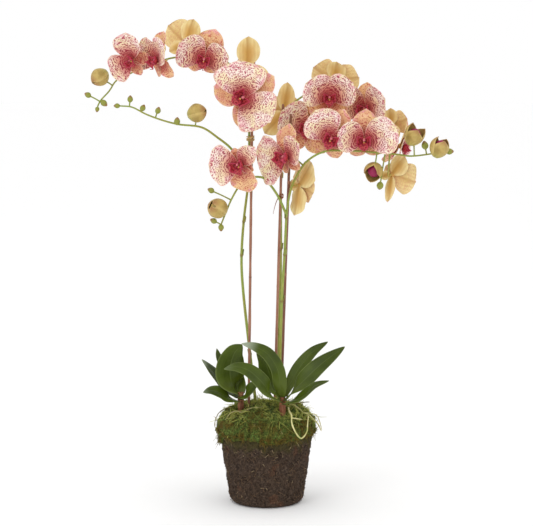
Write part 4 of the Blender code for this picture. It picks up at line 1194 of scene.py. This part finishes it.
def make_leaf(leaf):
    """Strap leaf along its centre line: half width widest/2 sin(pi (0.13 + 0.87 u))^0.70 drawn to a point,
    folded by fold half (sqrt(v^2 + 0.03) - 0.17), its margins turned down by v^6."""
    crown = CROWNS[leaf.crown]
    bearing = math.radians(leaf.bearing)
    heading = np.array((math.cos(bearing), math.sin(bearing), 0.0))
    share = (SOCKET_DEPTH + leaf.tier * MM) / (SOCKET_DEPTH + crown[2] * MM)
    off = CROWN_RADIUS + (CROWN_TOP_RADIUS - CROWN_RADIUS) * share
    base = spot((crown[0], crown[1], leaf.tier)) + heading * off
    path = smooth_path([base] + [spot(point) for point in leaf.points], 0.0022)
    u = np.linspace(0, 1, len(path))[:, None]
    face = unit(np.array(leaf.face))
    base_face = unit(np.array((-heading[0], -heading[1], 1.5)))
    if base_face @ face < 0:
        base_face = -base_face
    along = unit(np.gradient(path, axis=0))
    blend = base_face + (face - base_face) * ease(u, 0.0, 0.45)
    side = unit(np.cross(along, blend))
    up = np.cross(side, along)
    v = np.sin(np.linspace(-math.pi / 2, math.pi / 2, 17))[None, :]
    half = leaf.width * MM / 2 * np.maximum(np.sin(math.pi * (0.13 + 0.87 * u)).clip(0) ** 0.70, 0.03)
    lift = half * leaf.fold * (np.sqrt(v * v + 0.03) - 0.17) - half * 0.07 * v ** 6
    wave = half * 0.05 * np.sin(9 * u + 3 * np.sign(v)) * v * v
    points = path[:, None] + side[:, None] * (half * v)[..., None] + up[:, None] * (lift + wave)[..., None]
    edge = np.minimum(1 - np.abs(v), (1 - u) * 4)
    thick = 0.0016 * (0.35 + 0.65 * ease(edge, 0.0, 0.5))
    spread = np.stack((*np.broadcast_arrays(v, u), np.zeros(edge.shape)), axis=-1)
    # tone carries the painted sheen that whitens the leaf toward its tip.
    tone = ease(u, 0.55, 1.0) * LEAF_PAINTED_SHEEN.get(leaf.name, OTHER_PAINTED_SHEEN)
    piece = Piece()
    piece.sheet(points[:, ::-1], thick[:, ::-1], 0, spread[:, ::-1], tone, edge[:, ::-1])
    return piece.finish(leaf.name + "_blade", [look("leaf_skin", leaf_skin)], leaf.name)


def make_crown(name):
    """Stub of old leaf bases: tapered rings with seven sheath ridges, r (0.94 + 0.10 saw(7 t))."""
    x, y, height = CROWNS[name]
    low, high = spot((x, y, -SOCKET_DEPTH / MM)), spot((x, y, height))
    t = np.linspace(0, 1, 60)
    path = low + (high - low) * t[:, None]
    saw = 1 - (t * 7) % 1
    radius = (CROWN_RADIUS + (CROWN_TOP_RADIUS - CROWN_RADIUS) * t) * (0.94 + 0.10 * saw)
    rings = rings_on(path, radius, 20)
    rings = rings + unit(rings - path[:, None]) * (swell(rings, 0.006, 5) * 0.00025)[..., None]
    piece = Piece()
    piece.closed(rings)
    return piece.finish(name + "_stub", [look("crown_skin", crown_skin)], name)


def make_stake(name):
    """Split cane: a straight bar with a slightly uneven radius, r (0.97 + 0.05 swell), and knots."""
    top, bottom = spot(STAKES[name][1]), spot(STAKES[name][0])
    foot = np.array((bottom[0], bottom[1], SOIL_HEIGHT - SOCKET_DEPTH))
    t = np.linspace(0, 1, 240)[:, None]
    path = np.vstack((foot, bottom + (top - bottom) * t))
    heights = path[:, 2]
    tone = np.full(len(path), 0.2 if name == "right_stake" else 0.6)
    radius = STAKE_RADIUS * CANE_SHARE * (0.97 + 0.05 * swell(path, 0.05, len(name)))
    for knot in KNOTS:
        here = foot[2] + (top[2] - foot[2]) * (knot + 0.03 * (len(name) % 3))
        hump = np.exp(-((heights - here) / 0.0016) ** 2)
        radius = radius * (1 + 0.12 * hump)
        tone = np.maximum(tone, hump)
    radius[-3:] *= (0.95, 0.8, 0.5)
    piece = Piece()
    piece.closed(rings_on(path, radius, 12), 0, (0, 0, 1), np.tile(tone[:, None], (1, 12)))
    return piece.finish(name + "_cane", [look("cane_skin", cane_skin)], name)


def make_tie(name):
    """Band wound round a stake and the stem beside it: an oval of the two circles, rising 8 mm in its
    turns, with any loose ends."""
    stake, stem, height, turns, tone, tails = TIES[name]
    low, high = (spot(point) for point in STAKES[stake])
    stake_path = low + (high - low) * np.linspace(0, 1, 400)[:, None]
    stem_path = stem_paths(stem)[0]
    level = SOIL_HEIGHT + height * MM
    first = stake_path[np.argmin(np.abs(stake_path[:, 2] - level))]
    second = stem_path[np.argmin(np.abs(stem_path[:, 2] - level))]
    apart = second - first
    apart[2] = 0
    gap = np.linalg.norm(apart)
    way = unit(apart)
    cross = np.array((-way[1], way[0], 0.0))
    reach = STAKE_RADIUS + GAP + 0.0009
    a = np.linspace(0, 2 * math.pi * turns, 40 * turns)
    middle = (first + second) / 2
    middle[2] = level
    lift = np.linspace(-0.0040, 0.0040, len(a)) + 0.0006 * np.sin(a * 1.7)
    path = (middle + way * (np.sign(np.cos(a)) * gap / 2 * ease(np.abs(np.cos(a)), 0.0, 0.35)
                            + np.cos(a) * reach)[:, None]
            + cross * (np.sin(a) * reach)[:, None] + UP * lift[:, None])
    piece = Piece()
    piece.closed(rings_on(path, 0.00085, 6), 0, (0, 0, 1), tone)
    for route in tails:
        path = smooth_path([spot(point) for point in route], 0.002)
        piece.closed(rings_on(path, np.linspace(0.0008, 0.0003, len(path)), 6), 0, (0, 0, 1), tone)
    return piece.finish(name + "_band", [look("tie_skin", tie_skin)], name)


def moss_radius():
    """Radius of the moss where its dome meets its skirt."""
    return SOIL_TOP_RADIUS + MOSS_THICKNESS


def soil_radius(height):
    """Radius of the plug's tapered side at a height."""
    return SOIL_BASE_RADIUS + (SOIL_TOP_RADIUS - SOIL_BASE_RADIUS) * height / SOIL_HEIGHT


def moss_point(reach):
    """Radius and height of the moss: rise sqrt(1 - reach^4) up to the rim at 1, then down to 2."""
    reach = np.asarray(reach, float)
    dome = SOIL_HEIGHT + MOSS_RISE * np.sqrt(np.clip(1 - reach.clip(0, 1) ** MOSS_FULLNESS, 0, 1))
    fall = SOIL_HEIGHT - MOSS_SKIRT * (reach - 1)
    radius = np.where(reach <= 1, moss_radius() * reach, soil_radius(fall) + MOSS_THICKNESS)
    return radius, np.where(reach <= 1, dome, fall)


def on_moss(bearing, reach, height):
    """Point over the moss, height off it along its outward normal, and that normal."""
    radius, level = moss_point(reach)
    inner, lower = moss_point(np.asarray(reach) + 0.02)
    slope = unit(np.stack((level - lower, inner - radius), axis=-1))
    across, above = radius + slope[..., 0] * height, level + slope[..., 1] * height
    c, s = np.cos(np.radians(bearing)), np.sin(np.radians(bearing))
    return (np.stack((across * c, across * s, above), axis=-1),
            np.stack((slope[..., 0] * c, slope[..., 0] * s, slope[..., 1]), axis=-1))


def make_root(name):
    """Aerial root over the moss, tapering, with slow bends and an uneven skin."""
    piece = Piece()
    for route, thick, tone in ROOT_STRANDS[name]:
        points = np.array([on_moss(bearing, reach, height * MM + thick + GAP + 0.0012)[0]
                           for bearing, reach, height in route])
        path = smooth_path(points, 0.0016)
        path = path + np.stack([swell(path, 0.03, seed) for seed in (1, 2, 3)], axis=1) * 0.0005
        radius = np.linspace(thick, thick * 0.65, len(path)) * (1 + 0.08 * swell(path, 0.008, 4))
        radius[-3:] *= (0.9, 0.7, 0.4)
        piece.closed(rings_on(path, radius, 10), 0, (0, 0, 1), tone)
    return piece.finish(name + "_strand", [look("root_skin", root_skin)], name)


# ---------------------------------------------------------------- moss and soil

def strands(piece, rng, roots, headings, bends, lengths, thick, tones, look_index=0, droop=0.0, steps=5,
            curl=0.0):
    """Many thin strands at once. A strand's line is root + length (t heading + t^2 bend - t^2 droop z),
    t from 0 to 1, wound by t curl 4 mm (cos, sin)(phase + rate t), and its three-sided section shrinks by
    1 - 0.75 t."""
    total = len(roots)
    t = np.linspace(0, 1, steps)[None, :, None]
    line = roots[:, None] + lengths[:, None, None] * (t * headings[:, None] + t * t * bends[:, None])
    line[..., 2] -= (lengths * droop)[:, None] * t[..., 0] ** 2
    if curl:
        phase = rng.uniform(0, 2 * math.pi, total)[:, None]
        phase = phase + t[..., 0] * rng.uniform(4.0, 7.5, total)[:, None]
        first = unit(np.cross(headings, rng.normal(size=(total, 3))))[:, None]
        second = np.cross(headings[:, None], first)
        wound = np.cos(phase)[..., None] * first + np.sin(phase)[..., None] * second
        line = line + t * curl * CURL_RADIUS * wound
    tangent = unit(np.gradient(line, axis=1))
    ref = unit(rng.normal(size=(total, 3)))[:, None]
    across = unit(np.cross(ref, tangent))
    up = np.cross(tangent, across)
    a = np.linspace(0, 2 * math.pi, 3, endpoint=False)
    radius = (thick[:, None] * (1 - 0.75 * t[..., 0]))[..., None, None]
    ring = line[:, :, None] + radius * (np.cos(a)[:, None] * across[:, :, None]
                                        + np.sin(a)[:, None] * up[:, :, None])
    size = steps * 3
    index = np.arange(size).reshape(steps, 3)
    beside = np.roll(index, -1, axis=1)
    quads = np.stack((index[:-1], beside[:-1], beside[1:], index[1:]), axis=-1).reshape(-1, 4)
    caps = np.array((index[0][::-1], index[-1]))
    shift = (np.arange(total) * size)[:, None, None]
    # edge runs from 0 at a strand's root to 1 at its tip; the moss skin paints shade at the root end by it.
    edge = np.broadcast_to(t[0, :, 0][None, :, None], (total, steps, 3)).ravel()
    piece.take(ring.reshape(-1, 3), ((quads + shift).reshape(-1, 4), (caps + shift).reshape(-1, 3)),
               look_index, (0, 0, 1), np.repeat(tones, size), edge)


def moss_tone(points, rng):
    """Olive brown round the rim and in patches, green at the front, bright at the back and both shoulders."""
    height = (points[:, 2] - SOIL_HEIGHT) / MOSS_RISE
    patch = swell(points, 0.05, 21) * 0.03
    front = ease(-points[:, 1], 0.0, 0.055) * (1 - ease(np.abs(points[:, 0] + 0.010), 0.018, 0.045))
    tone = 0.90 - 0.34 * front + patch
    tone = tone - 0.80 * ease(0.72 - height, 0.0, 0.50) * (1 - 0.12 * front)
    return np.clip(tone + rng.normal(0, 0.19, len(points)), 0.02, 0.92)


def near_crowns(points):
    """0 beside a crown's front, 1 away from it, so that the moss lies low round the crowns."""
    clear = np.ones(points.shape[:-1])
    for x, y, _ in CROWNS.values():
        away = np.hypot(points[..., 0] - x * MM, (points[..., 1] - y * MM + 0.009) * 0.8)
        clear = np.minimum(clear, ease(away, 0.007, 0.022))
    return clear


def sunk(points):
    """Points of the moss, lowered by up to CROWN_DIP beside the crowns."""
    return points - (1 - near_crowns(points))[..., None] * (0, 0, CROWN_DIP)


def make_moss():
    """Mat and strands of moss: a displaced dome with a ragged hem, under tufts of fine hair, tufts of
    thick curled strands and a few dry stalks."""
    s = plug_set()
    rng = np.random.default_rng(77)
    rows, sides = 34, 120
    reach = np.concatenate((np.linspace(0.02, 1, 22) ** 0.8, np.linspace(1.06, 2.0, rows - 22)))
    bearing = np.linspace(0, 360, sides, endpoint=False)
    reach, bearing = np.meshgrid(reach, bearing, indexing="ij")
    reach = np.where(reach > 1, 1 + (reach - 1) * hem_share(bearing), reach)
    surface, normal = on_moss(bearing, reach, -0.0018)
    lumps = 0.0016 * swell(surface, 0.011, 3) + 0.0008 * swell(surface, 0.004, 4)
    surface = sunk(surface + normal * lumps[..., None])
    inner = surface[-1] * (0.955, 0.955, 1.0)
    rings = np.concatenate((surface, inner[None], (inner * (0.5, 0.5, 1.0))[None]))
    mat = Piece()
    mat.closed(rings[::-1], 0)
    mat.finish("moss_pad_mat", [look("mat_skin", mat_skin)], "moss_pad")

    hair = Piece()
    for tufts, each, size, thick, curl, steps in (
            (s.tuft_count, s.tuft_strands, s.strand_length * 0.85, (0.00035, 0.00070), 0.15, 5),
            (s.curl_count, s.curl_strands, s.strand_length * 0.95, (0.00050, 0.00100), 0.60, 8)):
        on_top = tufts * 3 // 4
        reach = np.concatenate((np.sqrt(rng.uniform(0.0, 1.0, on_top)),
                                rng.uniform(1.0, 1.9, tufts - on_top)))
        bearing = rng.uniform(0, 360, tufts)
        lean = rng.normal(0, 0.75, (tufts, 3))
        swirl = rng.normal(0, 0.75, (tufts, 3))
        grown = rng.uniform(0.45, 1.0, tufts)
        which = np.repeat(np.arange(tufts), each)
        total = len(which)
        bearing = bearing[which] + rng.normal(0, 2.6, total) / np.maximum(reach[which], 0.2)
        reach = np.clip(reach[which] + rng.normal(0, 0.05, total), 0.02, 1.95)
        reach = np.where(reach > 1, 1 + (reach - 1) * hem_share(bearing) * 0.95, reach)
        roots, out = on_moss(bearing, reach, -0.0022)
        roots = sunk(roots)
        heading = unit(out * 0.45 + lean[which] + rng.normal(0, 0.45, (total, 3)))
        heading = unit(heading + out * np.maximum(0.10 - (heading * out).sum(axis=1), 0)[:, None])
        bend = swirl[which] * 0.5 + rng.normal(0, 0.35, (total, 3)) - out * 0.45
        lengths = size * grown[which] * rng.uniform(0.5, 1.0, total)
        lengths *= np.where(reach > 1.0, 0.55, 1.0) * (0.25 + 0.75 * near_crowns(roots))
        tones = moss_tone(roots, rng)
        strands(hair, rng, roots, heading, bend, lengths, rng.uniform(*thick, total), tones, 0, 0.25, steps,
                curl)
    stalks = 50
    straw = rng.choice(total, stalks, replace=False)
    strands(hair, rng, roots[straw], unit(heading[straw] + rng.normal(0, 0.6, (stalks, 3))),
            bend[straw] * 0.3, rng.uniform(0.010, 0.022, stalks), np.full(stalks, 0.0004),
            np.full(stalks, 1.0), 0, 0.1)
    return hair.finish("moss_pad_tufts", [look("moss_skin", moss_skin)], "moss_pad")


def hem_share(bearing):
    """Share of the skirt that the moss covers at a bearing: about a quarter at the front's two sides and 0.6
    at its middle, about half behind, and past 1 in the patch that hangs at the left."""
    a = np.asarray(bearing) % 360
    share = 0.26 + 0.10 * np.sin(np.radians(5 * a + 40)) + 0.06 * np.sin(np.radians(13 * a))
    share = share + 0.36 * np.exp(-((a - 272) / 13) ** 2)
    share = share + 0.20 * ease(a % 180, 0, 40) * (1 - ease(a, 150, 200))
    return share + 0.95 * np.exp(-((a - 192) / 9) ** 2)


def make_soil():
    """Plug of pressed soil: a tapered body with a rounded foot, its skin moved in and out by swells of
    14, 6 and 3.2 mm, and short fibres lying on it."""
    rng = np.random.default_rng(31)
    rows, sides = 110, 300
    h = np.linspace(0, 1, rows)
    level = SOIL_HEIGHT * h * 0.985
    radius = soil_radius(level) - 0.0012
    corner = 0.009
    low = np.clip(1 - level / corner, 0, 1)
    radius = radius - corner * (1 - np.sqrt(1 - low * low)) * 0.8
    a = np.linspace(0, 2 * math.pi, sides, endpoint=False)
    out = np.stack((np.cos(a), np.sin(a), np.zeros_like(a)), axis=-1)
    skin = radius[:, None, None] * out[None] + level[:, None, None] * UP
    rough = (swell(skin, 0.014, 11) * 0.0007 + swell(skin, 0.006, 12) * 0.0006
             + swell(skin, 0.0032, 13, 24) * 0.00045)
    skin = skin + out[None] * (rough * np.minimum(1, h * 12)[:, None])[..., None]
    under = skin[0] * (0.6, 0.6, 1.0)
    top = skin[-1] * (0.6, 0.6, 1.0)
    piece = Piece()
    piece.closed(np.concatenate((under[None], skin, top[None])), 0)
    count = 1500
    angle = rng.uniform(0, 2 * math.pi, count)
    height = rng.uniform(0.004, SOIL_HEIGHT - 0.012, count)
    outward = np.stack((np.cos(angle), np.sin(angle), np.zeros(count)), axis=-1)
    roots = outward * (soil_radius(height) - 0.0006)[:, None] + UP * height[:, None]
    tangent = np.stack((-outward[:, 1], outward[:, 0], np.zeros(count)), axis=-1)
    slant = rng.uniform(-math.pi, math.pi, count)
    heading = (tangent * np.cos(slant)[:, None] + UP * np.sin(slant)[:, None]
               + outward * rng.uniform(0.05, 0.30, count)[:, None])
    bend = -outward * rng.uniform(0.1, 0.3, count)[:, None] + rng.normal(0, 0.2, (count, 3))
    tones = rng.uniform(0, 1, count) ** 1.5
    length = rng.uniform(0.003, 0.010, count)
    room = np.where(heading[:, 2] < 0, height / np.maximum(-heading[:, 2], 0.05), 1.0)
    length = np.minimum(length, room * 0.5)
    strands(piece, rng, roots, unit(heading), bend * (0.5, 0.5, 0.15), length,
            rng.uniform(0.00022, 0.0005, count), tones, FIBRE, 0.0)
    return piece.finish("soil_plug_peat", [look("soil_skin", soil_skin), look("fibre_skin", fibre_skin)],
                        "soil_plug")


# ---------------------------------------------------------------- stage

def floor_skin(name):
    """Plain pale floor with a trace of unevenness in its gloss."""
    shader = Shader(name, roughness=0.9, specular_ior_level=0.1)
    s = bpy.context.scene.orchid_stage
    mottle = shader.noise(shader.here(), 3.0, 2.0)
    shader.feed("Base Color", shader.mix(mottle.rise(0.3, 0.7) * 0.02, s.floor_grey, paint(244, 244, 243)))
    return shader.material


def make_stage():
    """Floor, room light, two soft lights and the camera."""
    s = bpy.context.scene.orchid_stage
    scene = bpy.context.scene
    a = np.linspace(0, 2 * math.pi, 64, endpoint=False)
    ring = np.stack((np.cos(a), np.sin(a), np.zeros_like(a)), axis=-1)
    radii = np.array((0.5, 3.0, 40.0))
    points = np.vstack((np.zeros((1, 3)), (ring[None] * radii[:, None, None]).reshape(-1, 3)))
    points[:, 2] -= 0.0003
    index = 1 + np.arange(3 * 64).reshape(3, 64)
    beside = np.roll(index, -1, axis=1)
    fan = np.stack((np.zeros(64, int), index[0], beside[0]), axis=-1)
    bands = np.stack((index[:-1], index[1:], beside[1:], beside[:-1]), axis=-1).reshape(-1, 4)
    mesh = bpy.data.meshes.new("floor")
    mesh.from_pydata(points.tolist(), [], fan.tolist() + bands.tolist())
    mesh.materials.append(look("floor_skin", floor_skin))
    floor = bpy.data.objects.new("floor", mesh)
    scene.collection.objects.link(floor)

    world = bpy.data.worlds.new("room")
    world.use_nodes = True
    background = world.node_tree.nodes["Background"]
    background.inputs["Color"].default_value = (1.0, 1.0, 1.0, 1.0)
    background.inputs["Strength"].default_value = s.sky
    scene.world = world

    for name, place, power, size, towards in (
            ("key_light", (-1.6, -2.4, 2.4), s.key_power, 1.6, (0, 0, 0.45)),
            ("fill_light", (2.2, -1.6, 1.2), s.key_power * 0.25, 1.8, (0, 0, 0.4))):
        data = bpy.data.lights.new(name, "AREA")
        data.energy = power
        data.size = size
        lamp = bpy.data.objects.new(name, data)
        scene.collection.objects.link(lamp)
        lamp.location = place
        back = unit(np.array(place) - np.array(towards))
        side = unit(np.cross(UP, back))
        lamp.rotation_euler = (math.acos(back[2]), 0.0, math.atan2(side[1], side[0]))

    data = bpy.data.cameras.new("camera")
    data.sensor_width = 36.0
    data.lens = s.lens
    data.clip_start, data.clip_end = 0.05, 200.0
    camera = bpy.data.objects.new("camera", data)
    scene.collection.objects.link(camera)
    camera.location = (0.0, -s.distance, s.height)
    camera.rotation_euler = (s.pitch, 0.0, 0.0)
    scene.camera = camera
    scene.view_settings.view_transform = "Standard"


# ---------------------------------------------------------------- operators and panel

class ORCHID_OT_soil(bpy.types.Operator):
    """Make the plug of pressed soil"""
    bl_idname = "orchid.soil"
    bl_label = "Soil plug"

    def execute(self, context):
        make_soil()
        return {"FINISHED"}


class ORCHID_OT_moss(bpy.types.Operator):
    """Make the moss mat and its strands"""
    bl_idname = "orchid.moss"
    bl_label = "Moss"

    def execute(self, context):
        make_moss()
        return {"FINISHED"}


class ORCHID_OT_roots(bpy.types.Operator):
    """Make the aerial roots"""
    bl_idname = "orchid.roots"
    bl_label = "Aerial roots"

    def execute(self, context):
        for name in ROOTS:
            make_root(name)
        return {"FINISHED"}


class ORCHID_OT_crowns(bpy.types.Operator):
    """Make the stubs that the leaves grow from"""
    bl_idname = "orchid.crowns"
    bl_label = "Crowns"

    def execute(self, context):
        for name in CROWNS:
            make_crown(name)
        return {"FINISHED"}


class ORCHID_OT_leaves(bpy.types.Operator):
    """Make the strap leaves"""
    bl_idname = "orchid.leaves"
    bl_label = "Leaves"

    def execute(self, context):
        for leaf in LEAVES:
            make_leaf(leaf)
        return {"FINISHED"}


class ORCHID_OT_stakes(bpy.types.Operator):
    """Make the three stakes and the two ties"""
    bl_idname = "orchid.stakes"
    bl_label = "Stakes and ties"

    def execute(self, context):
        for name in STAKES:
            make_stake(name)
        for name in TIES:
            make_tie(name)
        return {"FINISHED"}


class ORCHID_OT_spikes(bpy.types.Operator):
    """Make the flower spikes with their stalks and small buds"""
    bl_idname = "orchid.spikes"
    bl_label = "Flower spikes"

    def execute(self, context):
        for name in SPIKES:
            make_spike(name)
        return {"FINISHED"}


class ORCHID_OT_blooms(bpy.types.Operator):
    """Make the open flowers"""
    bl_idname = "orchid.blooms"
    bl_label = "Flowers"

    def execute(self, context):
        for index, bloom in enumerate(BLOOMS):
            make_bloom(bloom, 100 + 20 * index)
        return {"FINISHED"}


class ORCHID_OT_buds(bpy.types.Operator):
    """Make the large buds"""
    bl_idname = "orchid.buds"
    bl_label = "Large buds"

    def execute(self, context):
        for index, (name, bud) in enumerate(LARGE_BUDS.items()):
            make_large_bud(name, bud, index + 1)
        return {"FINISHED"}


class ORCHID_OT_stage(bpy.types.Operator):
    """Make the floor, the lights and the camera"""
    bl_idname = "orchid.stage"
    bl_label = "Stage"

    def execute(self, context):
        make_stage()
        return {"FINISHED"}


OPERATORS = (ORCHID_OT_soil, ORCHID_OT_moss, ORCHID_OT_roots, ORCHID_OT_crowns, ORCHID_OT_leaves,
             ORCHID_OT_stakes, ORCHID_OT_spikes, ORCHID_OT_blooms, ORCHID_OT_buds, ORCHID_OT_stage)
SETTINGS = {
    "orchid_blooms": OrchidBloomSettings,
    "orchid_greens": OrchidGreenSettings,
    "orchid_plug": OrchidPlugSettings,
    "orchid_stage": OrchidStageSettings,
}


class ORCHID_PT_panel(bpy.types.Panel):
    """Sizes and colours of the orchid, and a button for each group of its pieces"""
    bl_label = "Orchid Arrangement"
    bl_idname = "ORCHID_PT_panel"
    bl_space_type = "VIEW_3D"
    bl_region_type = "UI"
    bl_category = "Orchid"

    def draw(self, context):
        for key, group in SETTINGS.items():
            box = self.layout.box()
            for label in group.__annotations__:
                box.prop(getattr(context.scene, key), label)
        for operator in OPERATORS:
            self.layout.operator(operator.bl_idname)


def register():
    """Register the classes and hang the settings on the scene."""
    for group in (*SETTINGS.values(), *OPERATORS, ORCHID_PT_panel):
        bpy.utils.register_class(group)
    for key, group in SETTINGS.items():
        setattr(bpy.types.Scene, key, PointerProperty(type=group))


def unregister():
    """Undo register."""
    for key in SETTINGS:
        delattr(bpy.types.Scene, key)
    for group in reversed((*SETTINGS.values(), *OPERATORS, ORCHID_PT_panel)):
        bpy.utils.unregister_class(group)


def main():
    """Make every piece in order."""
    register()
    for operator in OPERATORS:
        group, name = operator.bl_idname.split(".")
        getattr(getattr(bpy.ops, group), name)()
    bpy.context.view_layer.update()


if __name__ == "__main__":
    main()
